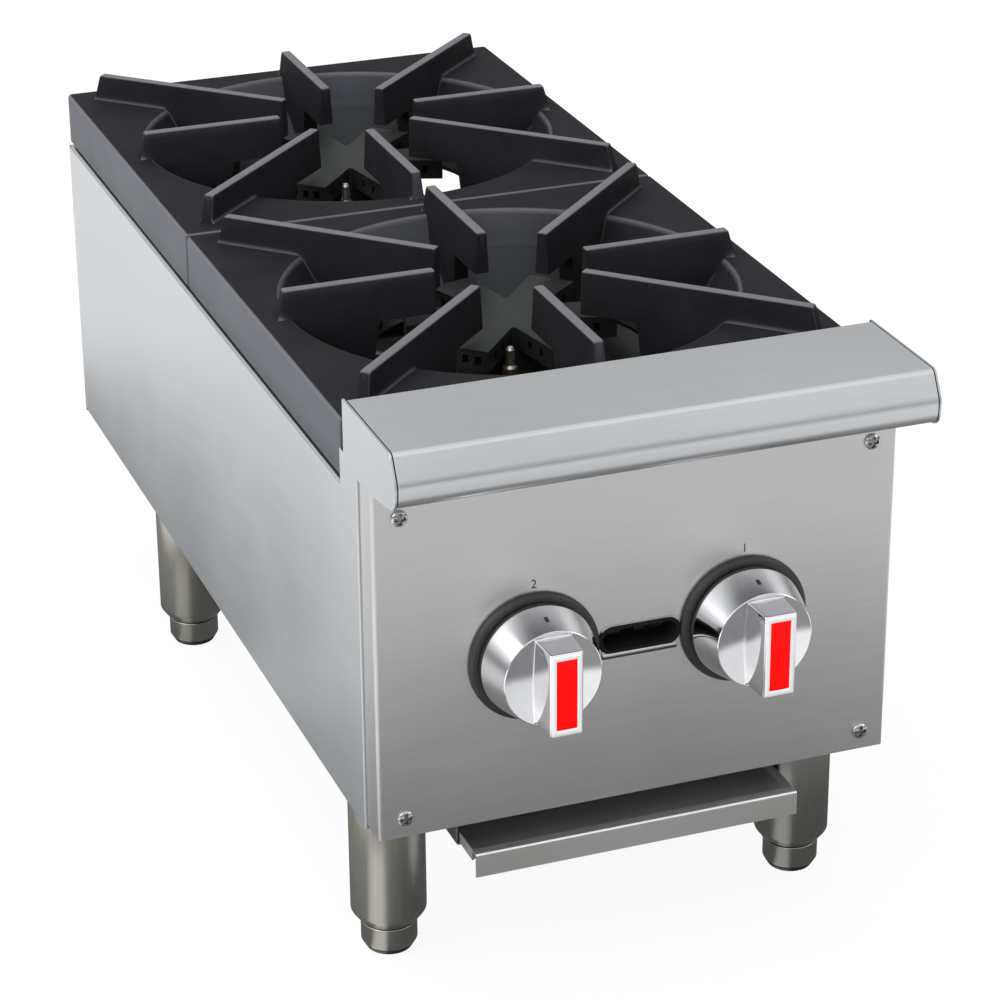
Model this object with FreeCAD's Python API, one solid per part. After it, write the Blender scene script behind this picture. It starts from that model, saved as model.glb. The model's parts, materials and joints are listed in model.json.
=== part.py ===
import FreeCAD, Part
import math
import os

# Countertop gas hotplate with two burners, one behind the other. Sizes are in millimetres.
# X runs to the right, Y to the back and Z up from the floor. Every piece is drawn with Y = 0
# on the face of the front panel, and is moved to the part's own origin when it is saved.

# Sheet-metal body
body_width = 310.6        # over the side panels
leg_height = 105.5        # floor to the underside of the body
side_height = 200.5       # underside of the body to the grates' seat
sheet = 1.2
bend = 1.0                # inside radius of the folds
seam_gap = 0.5            # open seam between neighbouring sheets
seat_flange = 15.0        # inward flange that carries the grates
base_flange = 43.0        # inward flange that the legs bolt to
rear_flange = 12.0

# Front control panel
panel_height = 218.0
panel_lift = 3.5          # body's underside to the panel's lower edge
panel_inset = 1.5         # panel's sides, inside the side panels' faces
panel_return = 30.0       # side returns, tucked behind the side panels
side_set = 21.0           # side panels' front edges, behind the panel's face
panel_lip = 22.0          # top and bottom returns
slot_length = 49.0        # pilot slot between the knobs
slot_height = 14.5
slot_rim = 2.4            # raised rim round the slot
slot_rim_proud = 1.0
slot_rim_gap = 0.5        # rim to the rings behind the knobs
panel_screw_side = 15.3   # screws, from the panel's sides
panel_screw_inset = 12.0  # lower screws, above the panel's lower edge
panel_screw_drop = 24.0   # upper screws, below the ledge

# Front ledge
ledge_height = 31.5
ledge_back = 38.0         # behind the panel's face
ledge_front = 38.0        # in front of the panel's face, at the top bend
ledge_lean = 8.5          # how far the nose leans further out
ledge_nose = 15.5         # top to the widest line of the nose
ledge_under_set = 1.0     # how far the nose comes back to the underside
ledge_top_bend = 4.5
ledge_nose_bend = 12.0
ledge_under_bend = 6.0

# Frame inside
post_leg = 26.0           # width of a corner post behind the panel
post_clear = 3.0          # post ends, above the base flange and below the ledge
post_gap = 1.0            # corner post to the front crossmember
crossmember_width = 30.0
crossmember_drop = 24.0
front_plate_rise = 44.0   # front crossmember, above the grates' seat
rail_width = 57.0
rail_thick = 2.0
rail_rise = 11.0
rail_end_gap = 1.0        # base rail's ends to the corner posts

# Legs and feet
leg_side = 27.0           # leg's axis, from the body's side
front_leg_y = 64.5
rear_leg_inset = 175.0    # leg's axis, from the back
leg_radius = 22.2
leg_taper_height = 8.0
leg_end_radius = 17.6
leg_end_height = 17.0     # floor to the lower end of the leg at rest
leg_core_radius = 13.0
leg_roof = 6.0
stud_radius = 5.0
stud_clear = 0.5
nut_height = 8.0
nut_across = 17.0
stud_over_nut = 4.0
foot_radius = 16.5
foot_clear = 0.3
foot_inside = 45.0        # part of the foot inside the leg
foot_edge = 3.0
foot_core_radius = 9.0
foot_floor = 12.0

# Crumb tray and its runners
tray_side = 56.8          # tray's edge, from the body's side
tray_back_inset = 26.0    # tray's back wall, from the body's back
tray_sheet = 1.0
tray_depth = 7.0
tray_drop = 22.0          # body's underside to the tray's underside
tray_lip_height = 14.7
tray_lip_reach = 5.5      # lip, in front of the tray's front wall
tray_front = 3.0          # front wall, behind the panel's face
tray_fold = 0.4
runner_side_gap = 1.0
runner_foot_gap = 0.3
runner_foot = 11.5
runner_flange = 10.8
runner_front = 24.0
runner_back_inset = 23.0

# Cast grates
grate_inset = 1.05        # inside each side of the body
grate_length = 305.0
grate_gap = 1.0
grate_rear_over = 0.5     # beyond the body's back
grate_front = 48.5        # front grate's front edge, behind the panel's face
grate_edge = 3.0
grate_skirt = 5.0
grate_skirt_height = 37.0
grate_rim = 5.0
upright_gap = 0.8         # panel upright to the front grate
bowl_rim = 16.5           # grate's edge to the bowl
bowl_round = 5.0          # rounding of the bowl's rim
bowl_wall_in = 12.0
bowl_wall_drop = 19.0
bowl_floor = 49.0         # bowl's rim to its inner opening, in plan
bowl_drop = 43.0          # rim to the inner edge of the bowl
bowl_thick = 5.0
rib_rise = 17.0           # above the rim
rib_depth = 26.0
rib_top = 6.5
rib_base = 9.5
rib_edge = 1.6            # rounding of a rib's upper edges
rib_inner = 47.0          # from the grate's centre to the ribs' inner ends
rib_side_over = 3.0       # side ribs' outer ends, beyond the bowl's rim
rib_lean = 4.5            # lean of the ribs' outer ends, from their top to the rim
rib_corner_set = 19.0     # corner ribs' outer ends, from the grate's edges
web_thick = 8.0
web_sink = 2.0

# Burners
head_arms = 6
head_first_arm = 45.0     # degrees
head_reach = 62.0
head_height = 26.0
head_gap = 8.0            # under the grates' ribs
head_hub = 24.0
head_arm_root = 9.0       # half widths of an arm
head_arm_tip = 14.5
head_arm_height = 13.0
head_wall = 3.5
head_port = 4.0
head_port_height = 5.5
head_ports = 3
head_port_pitch = 8.0
head_side_ports = (37.0, 50.0)
cup_radius = 32.0
cup_depth = 10.0
cup_wall = 6.0
cup_height = 12.0
cup_taper = 14.0
cup_clear = 0.3
riser_radius = 17.0
riser_bore = 13.0
mixer_radius = 15.0
mixer_bore = 11.5
mixer_mouth = 98.0        # behind the panel's face
mouth_radius = 19.0
mouth_length = 14.0
mouth_wall = 2.5
mouth_taper = 16.0
shutter_fit = 0.06
shutter_wall = 1.6
shutter_length = 10.0
shutter_set = 1.0
shutter_slots = 4
shutter_slot_width = 11.0
shutter_slot_length = 6.0
collar_radius = 24.0
collar_height = 5.0
support_height = 134.5    # body's underside to the top of the burner support
support_width = 54.0
support_sheet = 1.5
support_lip = 8.0
support_end = 16.0
support_clear = 0.3

# Gas train
knob_x = 62.5
knob_height = 102.0        # body's underside to the knobs' axes
pipe_radius = 13.35
pipe_bore = 10.5
pipe_fit = 0.05
pipe_y = 46.0
pipe_drop = 35.5          # knobs' axes to the manifold's axis
pipe_left_side = 37.3     # manifold's closed end, from the body's side
supply_gap = 4.0          # supply pipe to the side panel's rear flange
elbow_radius = 17.5
elbow_reach = 30.0
elbow_set = 16.0          # pipe ends, from the elbow's corner
cap_length = 22.0
cap_floor = 9.0
inlet_reach = 35.0        # supply pipe, behind the back panel
inlet_clear = 1.2
inlet_thread = 18.0
inlet_radius = 13.0
bracket_gap = 6.0         # brackets to the manifold's elbow
bracket_thick = 3.0
bracket_width = 20.0
bracket_foot = 18.0
valve_radius = 11.0
valve_front = 14.0
valve_back = 62.0
valve_nut = 13.5
valve_nut_length = 8.0
stub_radius = 6.5
stub_clear = 0.1
stub_depth = 2.0          # stub, inside the pipe's wall
stem_radius = 4.0
stem_fit = 0.05
stem_depth = 20.0         # stem inside the valve
stem_hole = 9.0           # hole in the panel
orifice_radius = 7.5
orifice_tip = 4.0
orifice_hex_length = 22.0
orifice_length = 38.0
orifice_bore = 1.1

# Pilots
pilot_x = 12.0
pilot_block_width = 11.0
pilot_block_depth = 20.0
pilot_block_height = 14.0
pilot_screw_radius = 3.6
pilot_screw_length = 9.0
pilot_screw_slot = 1.0
pilot_stub_radius = 4.0
pilot_tube_radius = 3.2
pilot_tube_bore = 2.2
pilot_tube_bend = 18.0
pilot_tip_x = -17.0       # from the burner's centre
pilot_tip_y = -46.0
pilot_tip_radius = 4.6
pilot_tip_height = 22.0
pilot_tip_lap = 6.0       # tube inside the tip
pilot_tip_rise = 24.0     # tip's top, above the cup's rim
pilot_tab_width = 14.0
pilot_tab_over = 8.0
pilot_tube_clear = 0.15
pilot_pass_x = 33.0       # where the rear pilot's tube passes the front burner
pilot_pass_start = 66.0
pilot_pass_front = 110.0
pilot_pass_back = 118.0   # before the rear burner's centre

# Knobs
knob_base = 33.5
knob_face = 27.5
knob_depth = 30.0         # panel's face to the knob's face
knob_edge = 2.0
knob_wall = 4.0
knob_boss = 9.0
knob_gap = 0.8            # knob to the ring behind it
grip_width = 19.0
grip_root = 21.0
grip_length = 50.0
grip_height = 20.0
grip_edge = 1.2
insert_width = 11.7
insert_length = 41.5
insert_depth = 1.2
bezel_radius = 39.5
bezel_thick = 3.5
bezel_edge = 1.5

# Fasteners
screw_head = 4.0
screw_head_height = 2.4
screw_shank = 2.0
screw_clear = 0.2
screw_length = 10.0
screw_cross_width = 1.0
screw_cross_depth = 1.2
back_screw_rows = 3
back_screw_inset = 16.0

# Back panel
flue_side = 19.3          # flue opening, from the body's sides
flue_height = 46.0
flue_drop = 38.0          # below the grates' seat
flue_corner = 8.0

# Places worked out from the sizes above
half_width = body_width / 2
inner_half = half_width - sheet
body_depth = grate_front + 2 * grate_length + grate_gap - grate_rear_over
panel_half = half_width - panel_inset
panel_screw_x = panel_half - panel_screw_side
leg_x = half_width - leg_side
rear_leg_y = body_depth - rear_leg_inset
tray_width = body_width - 2 * tray_side
tray_back = body_depth - tray_back_inset
runner_length = body_depth - runner_back_inset - runner_front
grate_width = body_width - 2 * grate_inset
grate_half = min(grate_width, grate_length) / 2
bowl_radius = grate_half - bowl_rim
bowl_opening = bowl_radius - bowl_floor
rib_side_reach = bowl_radius + rib_side_over
rib_corner_reach = (grate_half - rib_corner_set) * math.sqrt(2)
pipe_left_reach = half_width - pipe_left_side
supply_x = inner_half - rear_flange - supply_gap - pipe_radius
bracket_x = supply_x - elbow_reach - bracket_gap
flue_half_width = half_width - flue_side
body_bottom = leg_height
seat_z = leg_height + side_height
panel_bottom = leg_height + panel_lift
panel_top = panel_bottom + panel_height
ledge_top = panel_top + ledge_height
ledge_nose_y = -(ledge_front + ledge_lean)
rim_z = seat_z + grate_skirt_height
rib_z = rim_z + rib_rise
grate_pitch = grate_length + grate_gap
front_burner_y = grate_front + grate_length / 2
rear_burner_y = front_burner_y + grate_pitch
back_inner = body_depth - sheet
upright_back = grate_front - upright_gap
knob_z = leg_height + knob_height
pipe_z = knob_z - pipe_drop
rail_z = body_bottom + sheet
rail_top = rail_z + rail_thick
support_z = leg_height + support_height
head_top = rib_z - rib_depth - head_gap
cup_rim = head_top - head_height
bezel_front = -bezel_thick
knob_back = bezel_front - knob_gap
grip_front = -(knob_depth + grip_height)
tray_z = body_bottom - tray_drop
foot_top = leg_end_height + foot_inside
origin_y = (body_depth + inlet_reach + grip_front) / 2
sides = (("left", -1), ("right", 1))
burners = (("front", front_burner_y, -knob_x), ("rear", rear_burner_y, knob_x))


def vec(x, y, z):
    return FreeCAD.Vector(x, y, z)


def save(name, *shapes):
    # Moves a piece, or a group of like pieces, to the part's origin and writes it.
    group = shapes[0] if len(shapes) == 1 else Part.makeCompound(list(shapes))
    placed = group.copy()
    placed.translate(vec(0, -origin_y, 0))
    placed.exportStep("parts/" + name + ".step")
    solids = placed.Solids
    print(name, len(solids), "solid", round(placed.Volume / 1000, 2), "cm3", placed.isValid())


def block(x, y, z):
    return Part.makeBox(x[1] - x[0], y[1] - y[0], z[1] - z[0], vec(x[0], y[0], z[0]))


def rod(radius, start, end):
    axis = end - start
    return Part.makeCylinder(radius, axis.Length, start, axis)


def joined(first, *others):
    return first.fuse(list(others)).removeSplitter()


def mirrored(shape):
    return shape.mirror(vec(0, 0, 0), vec(1, 0, 0))


def on_side(shape, sign):
    return shape if sign > 0 else mirrored(shape)


def corner(before, at, after, radius):
    # Start, middle and end of the arc that rounds a corner, tangent to both its sides.
    into = (at - before).normalize()
    out = (after - at).normalize()
    half_turn = into.getAngle(out) / 2
    inward = (out - into).normalize()
    reach = radius * math.tan(half_turn)
    rise = radius / math.cos(half_turn) - radius
    return at - into * reach, at + inward * rise, at + out * reach


def path_wire(points, radii, closed):
    # A wire of straight runs with tangent arcs at the corners that have a radius.
    count = len(points)
    stops = []
    for i in range(count):
        ends = not closed and i in (0, count - 1)
        if ends or radii[i] == 0:
            stops.append((points[i], None, points[i]))
        else:
            stops.append(corner(points[i - 1], points[i], points[(i + 1) % count], radii[i]))
    edges = []
    for i in range(count):
        start, middle, end = stops[i]
        if middle:
            edges.append(Part.Arc(start, middle, end).toShape())
        following = stops[(i + 1) % count][0]
        last = not closed and i == count - 1
        if not last and (following - end).Length > 1e-6:
            edges.append(Part.LineSegment(end, following).toShape())
    return Part.Wire(edges)


def in_xy(u, v):
    return vec(u, v, 0)


def in_xz(u, v):
    return vec(u, 0, v)


def in_yz(u, v):
    return vec(0, u, v)


def prism(points, radii, plane, start, sweep):
    # A flat outline with rounded corners, moved to its start and carried along the sweep.
    wire = path_wire([plane(u, v) for u, v in points], radii, True)
    wire.translate(start)
    return Part.Face(wire).extrude(sweep)


def plain(points, plane, start, sweep):
    return prism(points, [0] * len(points), plane, start, sweep)


def folded(path, thickness, side, bends):
    # Outline of a folded sheet. The path is one face; side 1 puts the other face on its left.
    turns = [FreeCAD.Vector(u, v, 0) for u, v in path]
    runs = [(b - a).normalize() for a, b in zip(turns, turns[1:])]
    normals = [vec(-d.y, d.x, 0) * side for d in runs]
    near = [0]
    far = [0]
    other = [turns[0] + normals[0] * thickness]
    for i in range(1, len(turns) - 1):
        before, after = normals[i - 1], normals[i]
        other.append(turns[i] + (before + after) * (thickness / (1 + before.dot(after))))
        inside = runs[i - 1].cross(runs[i]).z * side > 0
        near.append(bends[i - 1] + (thickness if inside else 0))
        far.append(bends[i - 1] + (0 if inside else thickness))
    other.append(turns[-1] + normals[-1] * thickness)
    points = turns + other[::-1]
    radii = near + [0] + [0] + far[::-1]
    return [(p.x, p.y) for p in points], radii


def folded_sheet(path, thickness, side, bends, plane, start, sweep):
    points, radii = folded(path, thickness, side, bends)
    return prism(points, radii, plane, start, sweep)


def turned(points, axis_point, axis):
    # A solid of revolution. Points are (radius, height along the axis).
    across = vec(1, 0, 0) if abs(axis.x) < 0.5 else vec(0, 0, 1)
    ring = [axis_point + across * r + axis * h for r, h in points]
    wire = Part.makePolygon(ring + [ring[0]])
    return Part.Face(wire).revolve(axis_point, axis, 360)


def hexagon(across_flats, centre, sweep):
    # A hexagonal bar that starts at its centre and runs along the sweep.
    bar = Part.Face(Part.makePolygon([
        vec(math.cos(math.radians(60 * i)), math.sin(math.radians(60 * i)), 0)
        * (across_flats / math.sqrt(3)) for i in range(7)]))
    bar.Placement = FreeCAD.Placement(centre, FreeCAD.Rotation(vec(0, 0, 1), sweep))
    return bar.extrude(sweep)


def screw(place, outward):
    # A pan-head screw with a cross recess. The place is under its head.
    head = Part.makeCylinder(screw_head, screw_head_height, place, outward)
    rims = [e for e in head.Edges if (e.CenterOfMass - place).dot(outward) > screw_head_height * 0.9]
    head = head.makeFillet(screw_head_height * 0.4, rims)
    shank = Part.makeCylinder(screw_shank, screw_length, place, -outward)
    half = screw_head * 0.6
    deep = place + outward * (screw_head_height - screw_cross_depth)
    reach = outward * screw_head_height
    bars = []
    for a, b in ((half, screw_cross_width / 2), (screw_cross_width / 2, half)):
        corners = [(-a, -b), (a, -b), (a, b), (-a, b)]
        bars.append(plain(corners, in_xz, deep, reach))
    return joined(head, shank).cut(bars[0]).cut(bars[1])


def side_panel(sign):
    # Right-hand panel: a channel with flanges for the legs and the grates, a raised front
    # upright under the ledge and a flange for the back panel.
    low = half_width - base_flange
    high = half_width - seat_flange
    wall = [(low, body_bottom), (half_width, body_bottom), (half_width, seat_z), (high, seat_z)]
    tall = wall[:2] + [(half_width, panel_top)]
    length = back_inner - upright_back
    channel = folded_sheet(wall, sheet, 1, [bend, bend], in_xz, vec(0, upright_back, 0), vec(0, length, 0))
    reach = upright_back - side_set
    upright = folded_sheet(tall, sheet, 1, [bend], in_xz, vec(0, side_set, 0), vec(0, reach, 0))
    tab = block((inner_half - rear_flange, inner_half), (back_inner - sheet, back_inner),
                (rail_top + rail_rise, seat_z - crossmember_drop))
    panel = joined(channel, upright, tab)
    for y in (front_leg_y, rear_leg_y):
        low = vec(leg_x, y, body_bottom - sheet / 2)
        panel = panel.cut(Part.makeCylinder(stud_radius + stud_clear, 2 * sheet, low))
    for place in back_screw_places(1):
        panel = panel.cut(rod(screw_shank + screw_clear, place, place - vec(0, screw_length, 0)))
    return on_side(panel, sign)


def back_screw_places(sign):
    x = sign * (inner_half - rear_flange / 2)
    low = rail_top + rail_rise + back_screw_inset
    high = seat_z - crossmember_drop - back_screw_inset
    step = (high - low) / (back_screw_rows - 1)
    return [vec(x, body_depth, low + i * step) for i in range(back_screw_rows)]


def back_panel():
    # Flat back with a flue opening, the hole for the gas inlet and a flange under the rear grate.
    plate = block((-half_width, half_width), (back_inner, body_depth), (body_bottom, seat_z))
    shelf_half = half_width - seat_flange - seam_gap
    shelf_y = (back_inner - seat_flange, back_inner)
    shelf = block((-shelf_half, shelf_half), shelf_y, (seat_z - sheet, seat_z))
    flue_top = seat_z - flue_drop
    flue = [(-flue_half_width, flue_top - flue_height), (flue_half_width, flue_top - flue_height),
            (flue_half_width, flue_top), (-flue_half_width, flue_top)]
    window = prism(flue, [flue_corner] * 4, in_xz, vec(0, back_inner - sheet / 2, 0), vec(0, 2 * sheet, 0))
    panel = joined(plate, shelf).cut(window)
    start = vec(supply_x, back_inner - sheet, pipe_z)
    panel = panel.cut(rod(pipe_radius + inlet_clear, start, start + vec(0, 3 * sheet, 0)))
    for name, sign in sides:
        for place in back_screw_places(sign):
            panel = panel.cut(rod(screw_shank + screw_clear, place, place - vec(0, screw_length, 0)))
    return panel


def panel_screw_places():
    low = panel_bottom + panel_screw_inset
    high = panel_top - panel_screw_drop
    return [vec(x, 0, z) for x in (-panel_screw_x, panel_screw_x) for z in (low, high)]


def obround(length, height, y, depth):
    # A slot shape between the knobs, carried along Y.
    centres = (length - height) / 2
    start = vec(0, y, knob_z)
    run = vec(0, depth, 0)
    bar = block((-centres, centres), (y, y + depth), (knob_z - height / 2, knob_z + height / 2))
    ends = [Part.makeCylinder(height / 2, depth, start + vec(x, 0, 0), run) for x in (-centres, centres)]
    return joined(bar, *ends)


def front_panel():
    # Control panel folded back at both sides, top and bottom, with its holes and the rimmed slot.
    path = [(-panel_half, panel_return), (-panel_half, 0), (panel_half, 0), (panel_half, panel_return)]
    rise = vec(0, 0, panel_height)
    face = folded_sheet(path, sheet, 1, [bend, bend], in_xy, vec(0, 0, panel_bottom), rise)
    lip_half = panel_half - sheet - seam_gap
    lips = [block((-lip_half, lip_half), (0, panel_lip), z)
            for z in ((panel_bottom, panel_bottom + sheet), (panel_top - sheet, panel_top))]
    rim = obround(slot_length + 2 * slot_rim, slot_height + 2 * slot_rim, -slot_rim_proud, slot_rim_proud)
    rim_half = knob_x - bezel_radius - slot_rim_gap
    rim = rim.common(block((-rim_half, rim_half), (-2 * slot_rim_proud, sheet), (panel_bottom, panel_top)))
    panel = joined(face, rim, *lips)
    depth = 2 * slot_rim_proud + 2 * sheet
    panel = panel.cut(obround(slot_length, slot_height, -2 * slot_rim_proud, depth))
    for name, sign in sides:
        start = vec(sign * knob_x, -sheet, knob_z)
        panel = panel.cut(rod(stem_hole, start, start + vec(0, 3 * sheet, 0)))
    for place in panel_screw_places():
        start, end = place - vec(0, sheet, 0), place + vec(0, 2 * sheet, 0)
        panel = panel.cut(rod(screw_shank + screw_clear, start, end))
    return panel


def ledge_points():
    # Outer outline of the ledge's section, as (Y, Z), from its lower back edge round the nose.
    return [(ledge_back, panel_top), (ledge_back, ledge_top), (-ledge_front, ledge_top),
            (ledge_nose_y, ledge_top - ledge_nose), (ledge_nose_y + ledge_under_set, panel_top)]


def front_ledge():
    half = half_width - sheet
    under = (ledge_back - 3 * sheet, panel_top)
    bends = [bend, ledge_top_bend - sheet, ledge_nose_bend - sheet, ledge_under_bend - sheet]
    path = ledge_points() + [under]
    return folded_sheet(path, sheet, 1, bends, in_yz, vec(-half, 0, 0), vec(2 * half, 0, 0))


def ledge_cap(sign):
    radii = [0, bend + sheet, ledge_top_bend, ledge_nose_bend, ledge_under_bend]
    start = vec(half_width - sheet, 0, 0)
    return on_side(prism(ledge_points(), radii, in_yz, start, vec(sheet, 0, 0)), sign)


def corner_post(sign):
    # Angle behind the front panel that its screws bite into.
    outer = panel_half - sheet
    path = [(outer - post_leg, sheet), (outer, sheet), (outer, ledge_back - post_gap)]
    low = rail_top + post_clear
    height = panel_top - sheet - post_clear - low
    post = folded_sheet(path, sheet, 1, [bend], in_xy, vec(0, 0, low), vec(0, 0, height))
    for place in panel_screw_places():
        if place.x > 0:
            post = post.cut(rod(screw_shank + screw_clear, place, place + vec(0, screw_length, 0)))
    return on_side(post, sign)


def front_crossmember():
    # Carries the front edge of the front grate and the back of the ledge.
    ledge_seat = ledge_back
    top_half = half_width - seat_flange - seam_gap
    back_y = ledge_seat + crossmember_width - sheet
    shelf = block((-top_half, top_half), (ledge_seat, back_y + sheet), (seat_z - sheet, seat_z))
    low = seat_z - crossmember_drop
    wall = block((-inner_half, inner_half), (back_y, back_y + sheet), (low, seat_z - sheet))
    plate_half = inner_half - seam_gap
    plate_z = (low, seat_z + front_plate_rise)
    plate = block((-plate_half, plate_half), (ledge_seat, ledge_seat + sheet), plate_z)
    return joined(shelf, wall, plate)


def middle_crossmember():
    # Channel under the joint between the two grates.
    centre = front_burner_y + grate_pitch / 2
    top_half = half_width - seat_flange - seam_gap
    front_y = centre - crossmember_width / 2
    shelf = block((-top_half, top_half), (front_y, front_y + crossmember_width), (seat_z - sheet, seat_z))
    low = seat_z - crossmember_drop
    walls = [block((-inner_half, inner_half), (y, y + sheet), (low, seat_z - sheet))
             for y in (front_y, front_y + crossmember_width - sheet)]
    return joined(shelf, *walls)


def base_rail(leg_y):
    # Channel across the body, over the flanges that the legs bolt to.
    half = panel_half - 2 * sheet - rail_end_gap
    front, back = leg_y - rail_width / 2, leg_y + rail_width / 2
    path = [(front, rail_top + rail_rise), (front, rail_z), (back, rail_z), (back, rail_top + rail_rise)]
    rail = folded_sheet(path, rail_thick, 1, [bend, bend], in_yz, vec(-half, 0, 0), vec(2 * half, 0, 0))
    for x in (-leg_x, leg_x):
        low = vec(x, leg_y, rail_z - sheet)
        rail = rail.cut(Part.makeCylinder(stud_radius + stud_clear, 2 * rail_thick, low))
    return rail


def leg(x, y):
    # Tapered sleeve with a stud on top, bored for the foot.
    bore = foot_radius + foot_clear
    taper_top = leg_end_height + leg_taper_height
    stud_top = rail_top + nut_height + stud_over_nut
    roof = body_bottom - leg_roof
    points = [(leg_core_radius, foot_top), (leg_core_radius, roof), (0, roof), (0, stud_top),
              (stud_radius, stud_top), (stud_radius, body_bottom), (leg_radius, body_bottom),
              (leg_radius, taper_top), (leg_end_radius, leg_end_height), (bore, leg_end_height),
              (bore, foot_top)]
    return turned(points, vec(x, y, 0), vec(0, 0, 1))


def foot(x, y):
    # Insert that screws out of the leg, with a rounded lower edge.
    points = [(0, 0), (foot_radius, 0), (foot_radius, foot_top), (foot_core_radius, foot_top),
              (foot_core_radius, foot_floor), (0, foot_floor)]
    body = turned(points, vec(x, y, 0), vec(0, 0, 1))
    rims = [e for e in body.Edges if e.BoundBox.ZMax < 1e-6 and e.Length > foot_radius]
    return body.makeFillet(foot_edge, rims)


def leg_places():
    rows = (("front", front_leg_y), ("rear", rear_leg_y))
    return [(row + "_" + name, sign * leg_x, y) for row, y in rows for name, sign in sides]


def leg_nut(x, y):
    nut = hexagon(nut_across, vec(x, y, rail_top), vec(0, 0, nut_height))
    hole = Part.makeCylinder(stud_radius, 2 * nut_height, vec(x, y, rail_top - nut_height / 2))
    return nut.cut(hole)


def tray_runner(sign):
    # Hanger with a foot under the tray's edge.
    web = tray_width / 2 + runner_side_gap + sheet
    foot_z = tray_z - runner_foot_gap - sheet
    top = body_bottom
    path = [(web - runner_foot, foot_z), (web, foot_z), (web, top), (web + runner_flange, top)]
    start, run = vec(0, runner_front, 0), vec(0, runner_length, 0)
    return on_side(folded_sheet(path, sheet, 1, [bend, bend], in_xz, start, run), sign)


def crumb_tray():
    # Shallow pan whose front wall folds over into a pull lip.
    half = tray_width / 2
    back = tray_back
    fold = tray_z + tray_depth - tray_sheet
    lip_y = tray_front - tray_lip_reach
    path = [(back, tray_z + tray_depth), (back, tray_z), (tray_front, tray_z), (tray_front, fold),
            (lip_y, fold), (lip_y, fold + tray_sheet - tray_lip_height)]
    start, run = vec(-half, 0, 0), vec(tray_width, 0, 0)
    pan = folded_sheet(path, tray_sheet, -1, [tray_fold] * 4, in_yz, start, run)
    walls = [block(x, (tray_front, back), (tray_z, tray_z + tray_depth))
             for x in ((-half, -half + tray_sheet), (half - tray_sheet, half))]
    return joined(pan, *walls)


def grate_shell():
    # Rim plate with skirts, its upper edges rounded.
    x = (-grate_width / 2, grate_width / 2)
    y = (-grate_length / 2, grate_length / 2)
    outer = block(x, y, (seat_z, rim_z))
    edges = [e for e in outer.Edges if e.BoundBox.ZMin > rim_z - 1e-6 or e.BoundBox.ZLength > 1]
    outer = outer.makeFillet(grate_edge, edges)
    inside = block((x[0] + grate_skirt, x[1] - grate_skirt), (y[0] + grate_skirt, y[1] - grate_skirt),
                   (seat_z - grate_rim, rim_z - grate_rim))
    return outer.cut(inside)


def bowl_path():
    # Upper face of the bowl, as (radius, Z), from the rim to its inner opening.
    return [(bowl_radius, rim_z), (bowl_radius - bowl_wall_in, rim_z - bowl_wall_drop),
            (bowl_opening, rim_z - bowl_drop)]


def bowl_solid(path, top):
    # Solid of revolution inside the bowl's path, with the wall's slope carried on up to the top.
    rim, knee, inner = path
    slope = (rim[0] - knee[0]) / (rim[1] - knee[1])
    over = (rim[0] + (top - rim[1]) * slope, top)
    points = [(0, inner[1]), inner, knee, over, (0, top)]
    return turned(points, vec(0, 0, 0), vec(0, 0, 1))


def grate_rib(reach):
    # One rib along +X: a tapered bar with a leaning outer end, and a web that stands in the bowl.
    low = rib_z - rib_depth
    foot = reach + rib_lean * rib_depth / rib_rise
    section = [(-rib_base / 2, low), (rib_base / 2, low), (rib_top / 2, rib_z), (-rib_top / 2, rib_z)]
    bar = plain(section, in_yz, vec(rib_inner, 0, 0), vec(foot - rib_inner, 0, 0))
    end = [(reach, rib_z), (foot, low), (foot + rib_base, low), (foot + rib_base, rib_z)]
    bar = bar.cut(plain(end, in_xz, vec(0, -rib_base, 0), vec(0, 2 * rib_base, 0)))
    bar = bar.makeFillet(rib_edge, [e for e in bar.Edges if e.BoundBox.ZMin > rib_z - 1e-6])
    rim, knee, inner = bowl_path()
    outer = min(reach, bowl_radius)
    outer_z = rim[1] - (rim[0] - outer) * bowl_wall_drop / bowl_wall_in
    profile = [(inner[0], inner[1] - web_sink), (knee[0], knee[1] - web_sink), (outer, outer_z - web_sink),
               (outer, max(low, outer_z) + web_sink), (inner[0], low + web_sink)]
    web = plain(profile, in_xz, vec(0, -web_thick / 2, 0), vec(0, web_thick, 0))
    return bar, web


def grate(centre_y):
    # Casting: shell, bowl, and eight ribs that meet over the burner.
    path = bowl_path()
    lower = [(r + bowl_thick, z - bowl_thick) for r, z in path]
    below = path[2][1] - 2 * bowl_thick
    cast = joined(grate_shell(), bowl_solid(lower, rim_z - grate_rim / 2))
    cast = cast.cut(bowl_solid(path, rim_z + rib_rise))
    brink = [e for e in cast.Edges if e.BoundBox.ZMin > rim_z - 1e-6 and e.BoundBox.XMax < bowl_radius + 1]
    cast = cast.makeFillet(bowl_round, brink)
    cast = cast.cut(Part.makeCylinder(bowl_opening, 3 * bowl_thick, vec(0, 0, below)))
    ribs = []
    for i in range(8):
        reach = rib_corner_reach if i % 2 else rib_side_reach
        for piece in grate_rib(reach):
            piece.rotate(vec(0, 0, 0), vec(0, 0, 1), 45 * i)
            ribs.append(piece)
    whole = cast.fuse(ribs)
    whole.translate(vec(0, centre_y, 0))
    return whole


def head_arm(reach, root, tip, low, high):
    points = [(0, -root), (reach, -tip), (reach, tip), (0, root)]
    return plain(points, in_xy, vec(0, 0, low), vec(0, 0, high - low))


def port(along, across, z):
    # A square gas port: a box that runs through one wall.
    size = head_port / 2
    return block((along[0] - size, along[1] + size), (across[0] - size, across[1] + size),
                 (z - head_port_height / 2, z + head_port_height / 2))


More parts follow.
